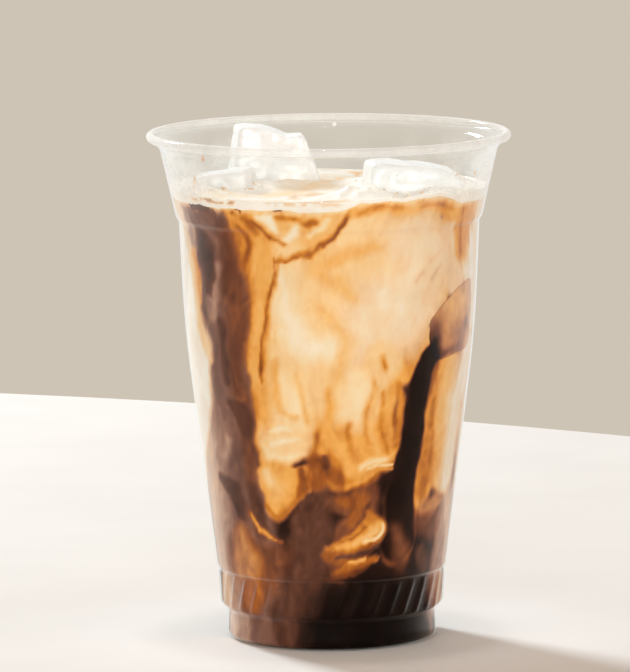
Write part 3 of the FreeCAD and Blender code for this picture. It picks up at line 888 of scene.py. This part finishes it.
def drink_body():
    """The drink out to the wall, closed on top just under the floating milk."""
    floor, side = floor_and_side(WALL - DRINK_IN_WALL)
    line = milk_line() + 0.5
    rows = [ring(r, z) for r, z in filled_in(floor, lambda height: FLOOR_STEP)]
    turn = np.radians(RING_ANGLE) - math.pi / 2
    flex = (line - FLEX_HEIGHT) / (DRINK_LEVEL - FLEX_HEIGHT)
    for z in [*np.arange(FIRST_ROW, FINE_FROM, FOOT_ROW_STEP), *np.arange(FINE_FROM, DRINK_LEVEL, ROW_STEP)]:
        height = z if z < FLEX_HEIGHT else FLEX_HEIGHT + (z - FLEX_HEIGHT) * flex
        radius = np.interp(height, side[:, 1], side[:, 0]) + flute_offset(turn, height)
        rows.append(ring(radius, height))
    for share, drop in TOP_ROWS:
        rows.append(ring(radius * share, line * (1 - drop) + (DRINK_LEVEL - TOP_DEPTH) * drop))
    piece = turned_skin("drink_body", rows, marbled_liquid("marbled_coffee", 0.45, 0.02))
    milk, warmth = marbling(vertices_of(piece))
    set_attributes(piece, milk=milk, warmth=warmth)
    return piece


# ---------------------------------------------------------------- milk that floats

# How far round a point ice is looked for, and the distance it is given where there is none
ICE_SEARCH = 12.0
NO_ICE = 30.0


def ice_trees():
    """A search tree over each ice block's solid, to find how near a point is to it."""
    trees = []
    for name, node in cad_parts.items():
        if name.startswith("ice"):
            mesh = node.data
            corners = [v.co for v in mesh.vertices]
            trees.append(BVHTree.FromPolygons(corners, [tuple(p.vertices) for p in mesh.polygons]))
    return trees


def distance_to_ice(points, trees):
    """Distance from each point to the nearest ice."""
    near = np.full(len(points), NO_ICE)
    for i, point in enumerate(points):
        place = Vector(point * MM)
        for tree in trees:
            hit = tree.find_nearest(place, ICE_SEARCH * MM)
            if hit[0] is not None:
                near[i] = min(near[i], hit[3] / MM)
    return near


# Strokes on the surface, as seen from above: shade, softness, and a line of x, y and half-width
SURFACE_STROKES = [
    (FOAM_BLUSH, 9, [(-24, -20, 3), (-10, -14, 7), (-4, 6, 8), (-6, 30, 8)]),
    (PALE, 6, [(-34, -20, 3), (-26, -30, 3), (-14, -34, 2)]),
    (FOAM_BLUSH, 6, [(8, 30, 3), (20, 33, 2), (36, 10, 2)]),
    (PEACH, 6, [(-16, -18, 1.2), (-6, -8, 1.8), (0, 6, 1.4)]),
    (TAN, 3, [(-8.6, -26, 1.6), (-8, -17, 1.4)]),
    (MIST, 2.6, [(-8.4, -25, 0.9), (-8, -19, 0.8)]),
    (TAN, 3, [(-3.4, -22, 1.5), (-2.6, -13, 1.3)]),
    (MIST, 3, [(-3.2, -20, 0.7), (-2.8, -15, 0.7)]),
    (TAN, 5, [(-14, -37, 2), (-6, -36, 3.4), (3, -36, 2.4)]),
    (MIST, 3.4, [(-13, -37, 0.6), (-6, -36.4, 1.6), (2, -36.6, 1)]),
    (ORANGE, 3, [(6.6, 32, 0.7), (7.2, 40, 1)]),
    (PEACH, 3, [(-2, 14, 0.8), (3, 20, 1), (4, 28, 0.6)]),
    (PEACH, 3, [(-31, -12, 0.8), (-24, -16, 1), (-14, -12, 0.8)]),
]

# Thin coffee streaks along the milk's edge at the wall: first and last angle, lowest and highest, how milky
EDGE_STREAKS = [(-58, -36, 121.0, 122.0, 0.50), (-22, 4, 121.3, 122.4, 0.80), (118, 150, 121.0, 122.0, 0.60)]


def surface_distance(points, line):
    """Distance outside a stroke on the drink's surface, negative inside it."""
    nearest = np.full(len(points), FAR)
    for (x0, y0, w0), (x1, y1, w1) in zip(line, line[1:]):
        gap = stretch_gap(points[:, 0] - x0, points[:, 1] - y0, x1 - x0, y1 - y0, w0, w1)
        nearest = np.minimum(nearest, gap)
    return nearest


def surface_marbling(points):
    """How milky and how warm the floating milk is."""
    warp = [layered_noise(points, 11.0, 401 + 9 * i, 4) for i in range(2)]
    moved = points + np.stack([warp[0], warp[1], 0 * warp[0]], 1) * 3.0
    slow = layered_noise(moved, 16.0, 431, 3)
    fields = [0.99 + 0.03 * slow, 0.10 + 0.14 * slow]
    for shade, softness, line in SURFACE_STROKES:
        paint(fields, surface_distance(moved, line), shade, softness)
    threads = layered_noise(moved * (1.0, 1.0, 0.2), 4.0, 451, 3)
    milk = fields[0] - 0.06 * np.clip(threads - 0.25, 0, 1)
    return np.clip(milk, 0, 1), np.clip(fields[1], 0, 1)


# Heaps of foam on the drink: x, y, radius and height
FOAM_HEAPS = [
    (4, -27, 5.5, 2.6), (12, -28, 6.0, 2.4), (34, -17, 6.5, 3.6), (26, -27, 6.0, 2.2), (36, -6, 5.0, 2.4),
    (-36, -13, 6.0, 2.8), (-31, -21, 6.0, 1.4), (-16, 3, 7.0, 1.6), (-34, 14, 6.0, 1.8), (0, 8, 8.0, 0.8),
]


def foam_relief(points, from_ice):
    """How far the surface stands over the drink's level: waves, a climb at the ice and the heaps."""
    broad = layered_noise(points, 15.0, 341, 3)
    small = layered_noise(points, 3.5, 351, 3)
    height = 0.30 * broad + 0.14 * small + 0.8 * np.exp(-from_ice / 1.3)
    for x, y, radius, tall in FOAM_HEAPS:
        far = np.hypot(points[:, 0] - x, points[:, 1] - y) / radius
        height += tall * np.exp(-far ** 2) * (1 + 0.25 * broad + 0.18 * small)
    return height


def milk_surface(lip, wall_radius, trees):
    """Rings of the bumpy surface, from the lip at the wall to the middle."""
    rows = [ring(share * (inner_radius(lip) + MILK_IN_WALL - 0.05), DRINK_LEVEL) for share in SURFACE_SHARES]
    rows.append(ring(0.0, DRINK_LEVEL))
    points = np.vstack(rows)
    lift = np.tile(lip - DRINK_LEVEL, len(rows))
    from_wall = wall_radius - reach_of(points)
    at_wall = np.exp(-np.maximum(from_wall, 0.0) / 1.3)
    height = foam_relief(points, distance_to_ice(points, trees))
    height = DRINK_LEVEL + height * (1 - 0.6 * at_wall) + lift * at_wall
    points[:, 2] = np.where(from_wall < 0.25, np.maximum(height, DRINK_LEVEL + lift - 0.25), height)
    rings = points.reshape(-1, AROUND, 3)
    rings[-1][:, 2] = rings[-2][:, 2].mean()
    return list(rings)


def milk_shades(points, near_wall):
    """The floating milk's shades, paler along the wall, with streaks of coffee on its edge there."""
    angle, height = angle_of(points), points[:, 2]
    milk, warmth = surface_marbling(points)
    lay_over((milk, warmth), WALL_FOAM, smooth_step(1.6, 0.5, near_wall))
    broken = smooth_step(-0.25, 0.25, layered_noise(points * (1, 1, 2), 3.0, 371, 2))
    for first, last, low, high, level in EDGE_STREAKS:
        along = plateau(first - 3, first + 3, last - 3, last + 3, angle)
        across = plateau(low - 0.3, low + 0.3, high - 0.3, high + 0.3, height)
        lay_over([milk], [level], along * across * broken * smooth_step(2.4, 1.2, near_wall))
    return milk, warmth


def froth_thickness(points, near_wall, near_ice):
    """Where bubbles gather: along the wall, most of all at the front on the right, and round the ice."""
    front_right = plateau(2.0, 30.0, 60.0, 80.0, angle_of(points))
    froth = 0.9 * np.exp(-near_wall / 1.6) * (0.25 + front_right) + 0.5 * np.exp(-near_ice / 1.5)
    froth *= smooth_step(DRINK_LEVEL - 1.0, DRINK_LEVEL, points[:, 2]) * (near_wall > 0.5)
    return froth * smooth_step(-0.1, 0.5, layered_noise(points, 6.0, 361, 2))


def milk_top():
    """The milk that floats: a bumpy skin that climbs a little at the wall and at the ice."""
    line = milk_line()
    trees = ice_trees()
    wall_radius = inner_radius(DRINK_LEVEL) + MILK_IN_WALL
    lip = DRINK_LEVEL + LIP_CLIMB + LIP_WAVES * layered_noise(ring(41.0, 0.0), 9.0, 331, 2)
    lip = np.maximum(lip, line + LIP_OVER_LINE)
    rows = [ring((wall_radius - 1.0) * share, DRINK_LEVEL - MILK_DEPTH) for share in (0.0, 0.3, 0.6, 0.9)]
    rows.append(ring(wall_radius - 0.9, line - 0.6))
    for i in range(LIP_STEPS + 1):
        height = line + (lip - line) * i / LIP_STEPS
        rows.append(ring(inner_radius(height) + MILK_IN_WALL, height))
    rows += milk_surface(lip, wall_radius, trees)
    piece = turned_skin("milk_top", rows, marbled_liquid("floating_milk", 0.38, 0.3))
    points = vertices_of(piece)
    near_wall = inner_radius(points[:, 2]) - reach_of(points)
    milk, warmth = milk_shades(points, near_wall)
    froth = froth_thickness(points, near_wall, distance_to_ice(points, trees))
    set_attributes(piece, milk=milk, warmth=warmth, froth=froth)
    return piece


# ---------------------------------------------------------------- ice

# How far up each block's top may reach along X: it slopes off where it has melted
TALL_TOP = [(-30, 136.0), (-25, 136.7), (-20, 136.75), (-15.8, 135.9), (-11.5, 134.0), (-7.6, 134.1),
            (-6, 132.4), (-4, 129.6), (-2, 126)]
FRONT_TOP = [(5, 127.6), (8, 129.4), (12, 130.4), (22, 129.8), (29, 128.8), (33, 127.0), (36, 124.6),
             (39, 121.5)]

# The blocks' faces: how fine they are, how often they are softened, how far they wave,
# and how far they lie inside the solid
ICE_VOXEL = 0.55
ICE_SOFTENING = 12
ICE_WAVES = 0.42
ICE_RIPPLES = 0.10
ICE_SHRINK = 0.15


def melted_tall(points):
    """The tall block, worn to a slope towards the cup's middle and leaning out under it."""
    limit = np.interp(points[:, 0], *zip(*TALL_TOP))
    lift = smooth_step(118.0, 134.0, points[:, 2])
    points[:, 2] += 0.8 * lift
    points[:, 2] = np.minimum(points[:, 2], limit - 0.02 * (points[:, 1] - 20.0))
    points[:, 0] += 0.30 * smooth_step(-13.0, -5.0, points[:, 0]) * np.clip(134.5 - points[:, 2], 0.0, 12.0)


def melted_front(points):
    """The block at the front on the right, broad and low, with its far end melted away."""
    out = smooth_step(115.0, 121.0, points[:, 2])
    wider = 0.5 + 0.35 * smooth_step(129.0, 121.0, points[:, 2])
    points[:, 0] += np.maximum(points[:, 0] - 14.0, 0.0) * wider * out
    points[:, 2] += 1.0 * smooth_step(118.0, 129.0, points[:, 2])
    points[:, 2] = np.minimum(points[:, 2], np.interp(points[:, 0], *zip(*FRONT_TOP)))
    keep_within(points, inner_radius(points[:, 2]) - 1.0)


def evaluated_mesh(piece):
    """Takes a piece's modifiers into its mesh."""
    graph = bpy.context.evaluated_depsgraph_get()
    made = bpy.data.meshes.new_from_object(piece.evaluated_get(graph))
    piece.modifiers.clear()
    piece.data = made
    return made


def ice_block(node_name, seed, melt):
    """A block with melted, slightly wavy faces, grown from its solid."""
    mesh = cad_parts[node_name].data.copy()
    shape = bmesh.new()
    shape.from_mesh(mesh)
    bmesh.ops.remove_doubles(shape, verts=shape.verts, dist=1e-5)
    shape.to_mesh(mesh)
    shape.free()
    piece = bpy.data.objects.new(node_name + "_block", mesh)
    bpy.context.scene.collection.objects.link(piece)
    remesh = piece.modifiers.new("even", "REMESH")
    remesh.mode = "VOXEL"
    remesh.voxel_size = ICE_VOXEL * MM
    plain = evaluated_mesh(piece)
    if melt:
        points = vertices_of(piece)
        melt(points)
        move_vertices(plain, points)
    soften = piece.modifiers.new("melt", "SMOOTH")
    soften.factor = 0.5
    soften.iterations = ICE_SOFTENING
    plain = evaluated_mesh(piece)
    points = vertices_of(piece)
    normals = np.empty(len(points) * 3)
    plain.vertices.foreach_get("normal", normals)
    normals = normals.reshape(-1, 3)
    wavy = layered_noise(points, 9.0, seed, 3) * ICE_WAVES
    wavy += layered_noise(points, 2.6, seed + 5, 2) * ICE_RIPPLES
    points = points + normals * (wavy - ICE_SHRINK)[:, None]
    points[:, 2] = np.minimum(points[:, 2], CUP_TOP - 0.05)
    move_vertices(plain, points)
    plain.update()
    plain.polygons.foreach_set("use_smooth", [True] * len(plain.polygons))
    plain.materials.clear()
    return piece


# Ice that lies sunk at the wall: angle, height, edge length, corner radius, the turns about its own axes,
# and the line of angles and heights at which its top has melted
SUNK_ICE = [
    (60, 89.6, 21.6, 4.6, (3, -5, -4),
     [(40, 83.0), (44, 88.4), (50, 92.2), (60, 96.4), (70, 98.4), (84, 97.0)]),
    (-152, 72, 19.0, 5.0, (6, 24, 8), [(-180, 90.0), (180, 90.0)]),
]
SUNK_ICE_CUTS = 35
SUNK_ICE_DEPTH = 0.74  # how much of half an edge its middle lies inside the wall
SUNK_ICE_TOP_LEFT = 0.12  # how much of its height over the melted line is left


def sunk_block(block, angle, height, size, corner, turns, top):
    """A cut-up cube as a rounded, melted block in its place: its points, and how near its rim each is."""
    points = np.array([v.co[:] for v in block.verts])
    half = size / 2
    core = np.clip(points, -(half - corner), half - corner)
    out = points - core
    length = np.linalg.norm(out, axis=1)
    points = core + out * (corner / np.maximum(length, 1e-6))[:, None] * (length > 1e-6)[:, None]
    across = np.abs(points[:, 0]) / half
    up = np.abs(points[:, 2]) / half
    rim = smooth_step(0.55, 1.0, (across ** 4 + up ** 4) ** 0.25)
    spin = Matrix.Rotation(math.radians(turns[0]), 3, "X") @ Matrix.Rotation(math.radians(turns[1]), 3, "Y")
    spin = Matrix.Rotation(math.radians(angle + turns[2]), 3, "Z") @ spin
    points = points @ np.array(spin).T
    distance = float(inner_radius(height)) - half * SUNK_ICE_DEPTH
    way = math.radians(angle)
    points += (distance * math.sin(way), -distance * math.cos(way), height)
    points += layered_noise(points, 7.0, 501, 2)[:, None] * 0.6
    over = np.maximum(points[:, 2] - np.interp(angle_of(points), *zip(*top)), 0.0)
    points[:, 2] -= over - SUNK_ICE_TOP_LEFT * over
    keep_within(points, inner_radius(points[:, 2]) + SUNK_ICE_IN_WALL)
    return points, rim


def sunk_ice():
    """Blocks pressed against the wall, stained by the coffee and milk round them, lighter towards the top as
    a painted highlight and darker at their edges and one lower corner as painted shade.
    """
    vertices, faces, rims = [], [], []
    for angle, height, size, corner, turns, top in SUNK_ICE:
        block = bmesh.new()
        bmesh.ops.create_cube(block, size=size)
        bmesh.ops.subdivide_edges(block, edges=block.edges[:], cuts=SUNK_ICE_CUTS, use_grid_fill=True)
        points, rim = sunk_block(block, angle, height, size, corner, turns, top)
        rims.append(rim)
        gather(block, points, vertices, faces)
    piece = new_object("sunk_ice", vertices, faces, marbled_liquid("coffee_stained_ice", 0.45, 0.06))
    points = vertices_of(piece)
    angle, height = angle_of(points), points[:, 2]
    rim = np.concatenate(rims)
    milk, warmth = marbling(points)
    clouds = layered_noise(points, 6.0, 521, 4)
    # The blocks are lighter towards the top, a painted highlight, and darker at one lower corner, painted
    # shade.
    painted_top_highlight = smooth_step(-8.0, 9.0, height - 88.5)
    painted_shade_corner = smooth_step(54.0, 45.0, angle) * smooth_step(93.0, 83.0, height) * (angle > 0)
    inner = 0.47 + 0.10 * clouds + 0.12 * painted_top_highlight
    # Towards its rim each block takes on the marbling round it, made darker there as painted shade at its
    # edges.
    milk = inner + (milk * 0.5 + 0.14 - inner) * rim - 0.26 * painted_shade_corner
    warmth = 0.58 + 0.2 * clouds + (warmth - 0.58) * 0.5 * rim
    set_attributes(piece, milk=np.clip(milk, 0, 1), warmth=np.clip(warmth, 0, 1))
    return piece


# ---------------------------------------------------------------- the cup, by rule

class Tree(Wiring):
    """A Geometry Nodes tree with named inputs."""

    def __init__(self, name, inputs):
        super().__init__(bpy.data.node_groups.new(name, "GeometryNodeTree"))
        face = self.tree.interface
        self.sockets = {}
        for label, kind in inputs.items():
            socket = face.new_socket(name=label, in_out="INPUT", socket_type="NodeSocket" + kind)
            self.sockets[label] = socket.identifier
        face.new_socket(name="Geometry", in_out="OUTPUT", socket_type="NodeSocketGeometry")
        self.given = self.nodes.new("NodeGroupInput").outputs
        self.result = self.nodes.new("NodeGroupOutput")

    def end(self, geometry, material):
        real = self.add("GeometryNodeRealizeInstances", None, Geometry=geometry).outputs[0]
        last = self.add("GeometryNodeSetMaterial", None, Geometry=real, Material=material).outputs[0]
        self.feed(self.result.inputs[0], last)


def run_tree(piece, rule, values):
    """Runs a tree on a piece and leaves the plain mesh it makes."""
    modifier = piece.modifiers.new(rule.tree.name, "NODES")
    modifier.node_group = rule.tree
    for name, value in values.items():
        modifier[rule.sockets[name]] = value
    bpy.context.view_layer.update()
    evaluated_mesh(piece)


def cup_rule(material):
    """Turns a section round the axis and presses leaning flutes into a band of it."""
    t = Tree("turned_cup_with_flutes", {
        "Section": "Object", "Section points": "Int", "Around": "Int", "Flute count": "Int",
        "Flute depth": "Float", "Flute lean": "Float", "Band bottom": "Float", "Band top": "Float",
        "Fade": "Float"})
    low, high, fade = t.given["Band bottom"], t.given["Band top"], t.given["Fade"]
    section = t.add("GeometryNodeObjectInfo", None, Object=t.given["Section"]).outputs["Geometry"]
    grid = t.add("GeometryNodeMeshGrid", None, Size_X=1.0, Size_Y=1.0,
                 Vertices_X=t.math("ADD", t.given["Around"], 1.0), Vertices_Y=t.given["Section points"])
    here = t.add("GeometryNodeInputPosition").outputs[0]
    place = t.add("ShaderNodeSeparateXYZ", None, Vector=here)
    turn = t.math("MULTIPLY", t.math("ADD", place.outputs[0], 0.5), 2 * math.pi)
    last = t.math("SUBTRACT", t.given["Section points"], 1.0)
    row = t.math("ROUND", t.math("MULTIPLY", t.math("ADD", place.outputs[1], 0.5), last))
    picked = t.add("GeometryNodeSampleIndex", {"data_type": "FLOAT_VECTOR", "domain": "POINT"},
                   Geometry=section, Index=row, Value=here)
    point = t.add("ShaderNodeSeparateXYZ", None, Vector=picked.outputs["Value"])
    radius, height = point.outputs[0], point.outputs[2]
    middle = t.math("MULTIPLY", t.math("ADD", low, high), 0.5)
    shift = t.math("MULTIPLY", t.given["Flute lean"], t.math("SUBTRACT", height, middle))
    wave = t.math("COSINE", t.math("MULTIPLY", t.given["Flute count"], t.math("SUBTRACT", turn, shift)))
    wave = t.math("POWER", t.math("MULTIPLY_ADD", wave, 0.5, 0.5), FLUTE_SHARPNESS)
    wave = t.math("SUBTRACT", wave, FLUTE_SINK)
    ease = {"interpolation_type": "SMOOTHSTEP"}
    rise = t.add("ShaderNodeMapRange", ease, Value=height,
                 From_Min=t.math("SUBTRACT", low, FLUTE_OVERRUN * MM),
                 From_Max=t.math("ADD", low, fade)).outputs[0]
    fall = t.add("ShaderNodeMapRange", ease, Value=height, From_Min=t.math("SUBTRACT", high, fade),
                 From_Max=t.math("ADD", high, FLUTE_OVERRUN * MM), To_Min=1.0, To_Max=0.0).outputs[0]
    out = t.math("MULTIPLY", wave, t.math("MULTIPLY", rise, fall))
    out = t.math("MULTIPLY", out, t.given["Flute depth"])
    reach = t.math("ADD", radius, out)
    spot = t.add("ShaderNodeCombineXYZ", None, X=t.math("MULTIPLY", reach, t.math("COSINE", turn)),
                 Y=t.math("MULTIPLY", reach, t.math("SINE", turn)), Z=height).outputs[0]
    turned = t.add("GeometryNodeSetPosition", None, Geometry=grid.outputs["Mesh"], Position=spot).outputs[0]
    closed = t.add("GeometryNodeMergeByDistance", None, Geometry=turned, Distance=0.01 * MM).outputs[0]
    smooth = t.add("GeometryNodeSetShadeSmooth", None, i0=closed, i2=True).outputs[0]
    t.end(smooth, material)
    return t


# How much white diffuse the plastic shows: mist with painted reflection over the drink, painted sheen on its
# lip, a faint white in the neck under it and a painted highlight on the bead's crest
MIST_AND_REFLECTION_OVER_DRINK = 0.55
PAINTED_SHEEN_ON_LIP = 0.16
WHITE_IN_NECK = 0.06
PAINTED_HIGHLIGHT_ON_CREST = 0.45


def mist_and_painted_sheen(points):
    """Mist inside the plastic over the drink, with painted reflection that makes it strongest at the sides,
    a faint white in the neck, and painted sheen and highlight on lip and bead.
    """
    height = points[:, 2]
    sides = 0.18 + 0.82 * plateau(18.0, 62.0, 120.0, 160.0, np.abs(angle_of(points)))
    over_drink = plateau(DRINK_LEVEL - 1.0, DRINK_LEVEL + 1.5, 125.5, 134.5, height)
    cloudy = np.clip(0.65 + layered_noise(points, 10.0, 601, 3), 0, 1)
    # On lip and bead the white is a painted sheen and highlight, in the neck a faint white.
    lip = smooth_step(CUP_TOP - 3.4, CUP_TOP - 1.6, height)
    neck = plateau(129.5, 132.0, 133.5, 136.0, height)
    crest = smooth_step(CUP_TOP - 0.5, CUP_TOP - 0.05, height)
    crest += smooth_step(RIM_RADIUS - 0.6, RIM_RADIUS - 0.05, reach_of(points))
    mist = MIST_AND_REFLECTION_OVER_DRINK * over_drink * sides * cloudy
    return mist + PAINTED_SHEEN_ON_LIP * lip + WHITE_IN_NECK * neck + PAINTED_HIGHLIGHT_ON_CREST * crest


def cup_shell():
    """The clear cup, turned from its section by the tree."""
    section = cup_section()
    wire = bpy.data.meshes.new("cup_section")
    links = [(i, i + 1) for i in range(len(section) - 1)]
    wire.from_pydata([(r * MM, 0.0, z * MM) for r, z in section], links, [])
    guide = bpy.data.objects.new("cup_section", wire)
    bpy.context.scene.collection.objects.link(guide)
    piece = new_object("cup_shell", [(0, 0, 0)], [], None)
    lean = math.tan(math.radians(FLUTE_LEAN_DEG)) / (BAND_RADIUS * MM)
    run_tree(piece, cup_rule(clear_plastic()), {
        "Section": guide, "Section points": len(section), "Around": FLUTE_COUNT * FLUTE_POINTS,
        "Flute count": FLUTE_COUNT, "Flute depth": FLUTE_DEPTH * MM, "Flute lean": lean,
        "Band bottom": BAND_BOTTOM[1] * MM, "Band top": BAND_TOP[1] * MM, "Fade": FLUTE_FADE * MM})
    bpy.data.objects.remove(guide)
    shape = bmesh.new()
    shape.from_mesh(piece.data)
    bmesh.ops.recalc_face_normals(shape, faces=shape.faces)
    shape.to_mesh(piece.data)
    shape.free()
    set_attributes(piece, mist=mist_and_painted_sheen(vertices_of(piece)))
    return piece


# ---------------------------------------------------------------- froth

def froth_rule(material):
    """Scatters small bubbles where the milk's froth attribute is high."""
    t = Tree("bubbles_in_the_froth", {
        "Milk": "Object", "Density": "Float", "Smallest": "Float", "Largest": "Float", "Seed": "Int"})
    smallest, seed = t.given["Smallest"], t.given["Seed"]
    milk = t.add("GeometryNodeObjectInfo", None, Object=t.given["Milk"]).outputs["Geometry"]
    froth = t.add("GeometryNodeInputNamedAttribute", {"data_type": "FLOAT"}, Name="froth").outputs[0]
    points = t.add("GeometryNodeDistributePointsOnFaces", None, Mesh=milk,
                   Density=t.math("MULTIPLY", froth, t.given["Density"]), Seed=seed).outputs["Points"]
    bubble = t.add("GeometryNodeMeshIcoSphere", None, Radius=1.0, Subdivisions=2).outputs[0]
    chance = t.add("FunctionNodeRandomValue", {"data_type": "FLOAT"}, Seed=seed)
    share = t.math("POWER", chance.outputs[1], 2.6)
    size = t.math("MULTIPLY_ADD", share, t.math("SUBTRACT", t.given["Largest"], smallest), smallest)
    placed = t.add("GeometryNodeInstanceOnPoints", None, Points=points, Instance=bubble, Scale=size)
    t.end(placed.outputs[0], material)
    return t


def froth_bubbles(milk):
    """Small bubbles where the froth is thick."""
    piece = new_object("froth_bubbles", [(0, 0, 0)], [], None)
    run_tree(piece, froth_rule(bubble_film(tone(252, 236, 212), tone(216, 172, 126))), {
        "Milk": milk, "Density": 1.3e6, "Smallest": 0.14 * MM, "Largest": 0.70 * MM, "Seed": 5})
    piece.data.polygons.foreach_set("use_smooth", [True] * len(piece.data.polygons))
    return piece


# Drops on the inside of the wall: angle, height, half-width, half-height
COFFEE_DROPS = [
    (-55.0, 126.6, 0.5, 1.2), (-56.6, 124.6, 0.28, 0.4), (63.0, 127.5, 0.35, 0.5), (-128.0, 127.0, 0.5, 0.9),
]
CLEAR_DROPS = [
    (178.0, 134.2, 0.55, 0.7), (-170.0, 128.0, 0.4, 0.6), (140.0, 128.6, 0.5, 0.8), (24.0, 129.2, 0.35, 0.5),
]

# Half a drop's thickness, how much it narrows upwards, and how far its middle stands in from the wall
DROP_THICKNESS = 0.28
DROP_SAG = 0.25
DROP_STANDS_IN = 0.1


def wall_drops(name, places, material):
    """Small drops that cling to the wall over the drink."""
    vertices, faces = [], []
    for angle, height, wide, tall in places:
        ball = bmesh.new()
        bmesh.ops.create_icosphere(ball, subdivisions=3, radius=1.0)
        way = math.radians(angle)
        out = np.array([math.sin(way), -math.cos(way), 0.0])
        along = np.array([math.cos(way), math.sin(way), 0.0])
        centre = out * (float(inner_radius(height)) - DROP_STANDS_IN) + (0, 0, height)
        x, y, z = np.array([v.co[:] for v in ball.verts]).T[:, :, None]
        points = centre + along * x * wide * (1.0 - DROP_SAG * z) + out * y * DROP_THICKNESS
        points[:, 2:] += z * tall
        gather(ball, points, vertices, faces)
    return new_object(name, vertices, faces, material)


# ---------------------------------------------------------------- making the pieces

cup = cup_shell()
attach(cup, "root")
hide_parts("cup")

body = drink_body()
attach(body, "root")
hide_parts("coffee")

top = milk_top()
bubbles = froth_bubbles(top)
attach(top, "root")
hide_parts("milk")
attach(bubbles, "root")

white_ice = frosty_ice()
MELTS = {"ice_tall": melted_tall, "ice_left": None, "ice_front_right": melted_front, "ice_back_right": None}
for order, (node_name, melt) in enumerate(MELTS.items()):
    block = ice_block(node_name, 701 + 20 * order, melt)
    block.data.materials.append(white_ice)
    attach(block, "root")
    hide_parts(node_name)

sunk = sunk_ice()
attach(sunk, "root")

DROPS = {
    "coffee_drops": (COFFEE_DROPS, coffee_drop()),
    "clear_drops": (CLEAR_DROPS, bubble_film(tone(250, 250, 248), tone(226, 222, 214))),
}
for name, (places, material) in DROPS.items():
    drops = wall_drops(name, places, material)
    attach(drops, "root")

# ---------------------------------------------------------------- stage, light and camera

TABLE_MIDDLE = (-0.383, -0.272)
TABLE_RADIUS = 0.80
TABLE_POINTS = 180
BACKDROP = tone(206, 196, 181)
ROOM_GLOW = tone(255, 229, 204)
ROOM_STRENGTH = 0.45
MIRRORED_ROOM = tone(252, 251, 249)

rim = [(TABLE_MIDDLE[0] + TABLE_RADIUS * math.cos(a), TABLE_MIDDLE[1] + TABLE_RADIUS * math.sin(a), 0.0)
       for a in np.linspace(0, 2 * math.pi, TABLE_POINTS, endpoint=False)]
table = new_object("table", rim, [tuple(range(len(rim)))], table_top(), smooth=False)


def room_light():
    """A warm glow. The camera, also through the cup, sees a plain backdrop instead, gloss a pale room."""
    world = bpy.data.worlds.new("room")
    bpy.context.scene.world = world
    world.use_nodes = True
    w = Wiring(world.node_tree)
    w.nodes.clear()
    ray = w.add("ShaderNodeLightPath").outputs
    seen = w.add("ShaderNodeBackground", None, Color=BACKDROP).outputs[0]
    painted_top_highlight = w.add("ShaderNodeBackground", None, Color=ROOM_GLOW, Strength=ROOM_STRENGTH).outputs[0]
    mirrored = w.add("ShaderNodeBackground", None, Color=MIRRORED_ROOM).outputs[0]
    reflect = w.add("ShaderNodeMixShader", None, i0=ray["Is Glossy Ray"], i1=painted_top_highlight, i2=mirrored).outputs[0]
    choose = w.add("ShaderNodeMixShader", None, i0=ray["Is Camera Ray"], i1=reflect, i2=seen).outputs[0]
    w.add("ShaderNodeOutputWorld", None, Surface=choose)


def hang_lamp(light, place, aim, watts, colour):
    """Puts a light in its place, turned towards the point it aims at."""
    light.energy = watts
    light.color = colour
    lamp = bpy.data.objects.new(light.name, light)
    lamp.location = place
    lamp.rotation_euler = (Vector(aim) - Vector(place)).to_track_quat("-Z", "Y").to_euler()
    bpy.context.scene.collection.objects.link(lamp)


def soft_lamp(name, place, aim, size, watts, colour):
    """A rectangular lamp that gives soft shadows."""
    light = bpy.data.lights.new(name, "AREA")
    light.shape = "RECTANGLE"
    light.size, light.size_y = size
    hang_lamp(light, place, aim, watts, colour)


def cup_spot(name, place, aim, watts, colour):
    """A narrow, soft spot that lights the drink's surface and leaves the cup's shadow alone."""
    light = bpy.data.lights.new(name, "SPOT")
    light.spot_size = 0.115
    light.spot_blend = 0.4
    light.shadow_soft_size = 0.05
    hang_lamp(light, place, aim, watts, colour)


def place_camera():
    """Sets the camera up, rolled a little about the way it looks."""
    eye = Vector(CAMERA_PLACE)
    ahead = (Vector(CAMERA_AIM) - eye).normalized()
    right = ahead.cross(Vector((0, 0, 1))).normalized()
    above = right.cross(ahead)
    roll = math.radians(CAMERA_ROLL_DEG)
    side_axis = right * math.cos(roll) + above * math.sin(roll)
    up_axis = above * math.cos(roll) - right * math.sin(roll)
    turn = Matrix((side_axis, up_axis, -ahead)).transposed()
    lens = bpy.data.cameras.new("camera")
    lens.lens = CAMERA_LENS
    lens.sensor_width = SENSOR_WIDTH
    camera = bpy.data.objects.new("camera", lens)
    camera.matrix_world = Matrix.Translation(eye) @ turn.to_4x4()
    bpy.context.scene.collection.objects.link(camera)
    bpy.context.scene.camera = camera


room_light()

# Lamps: name, where they hang, the point they light, size if they are soft, watts and colour
soft_lamp("key_left_back", (-1.28, 1.84, 1.47), (0, 0, 0.05), (0.45, 0.45), 61.0, (0.86, 0.955, 1.0))
soft_lamp("fill_front", (-0.2, -1.8, 0.30), (0, 0, 0.07), (1.4, 0.5), 13.2, (0.985, 1.0, 1.0))
soft_lamp("fill_right", (1.5, -0.7, 0.45), (0, 0, 0.09), (0.7, 0.5), 4.6, (1.0, 1.0, 1.0))
cup_spot("over_cup", (0, 0, 1.0), (0, 0, 0), 10.5, (0.94, 0.98, 1.0))

place_camera()
bpy.context.scene.view_settings.view_transform = "Standard"
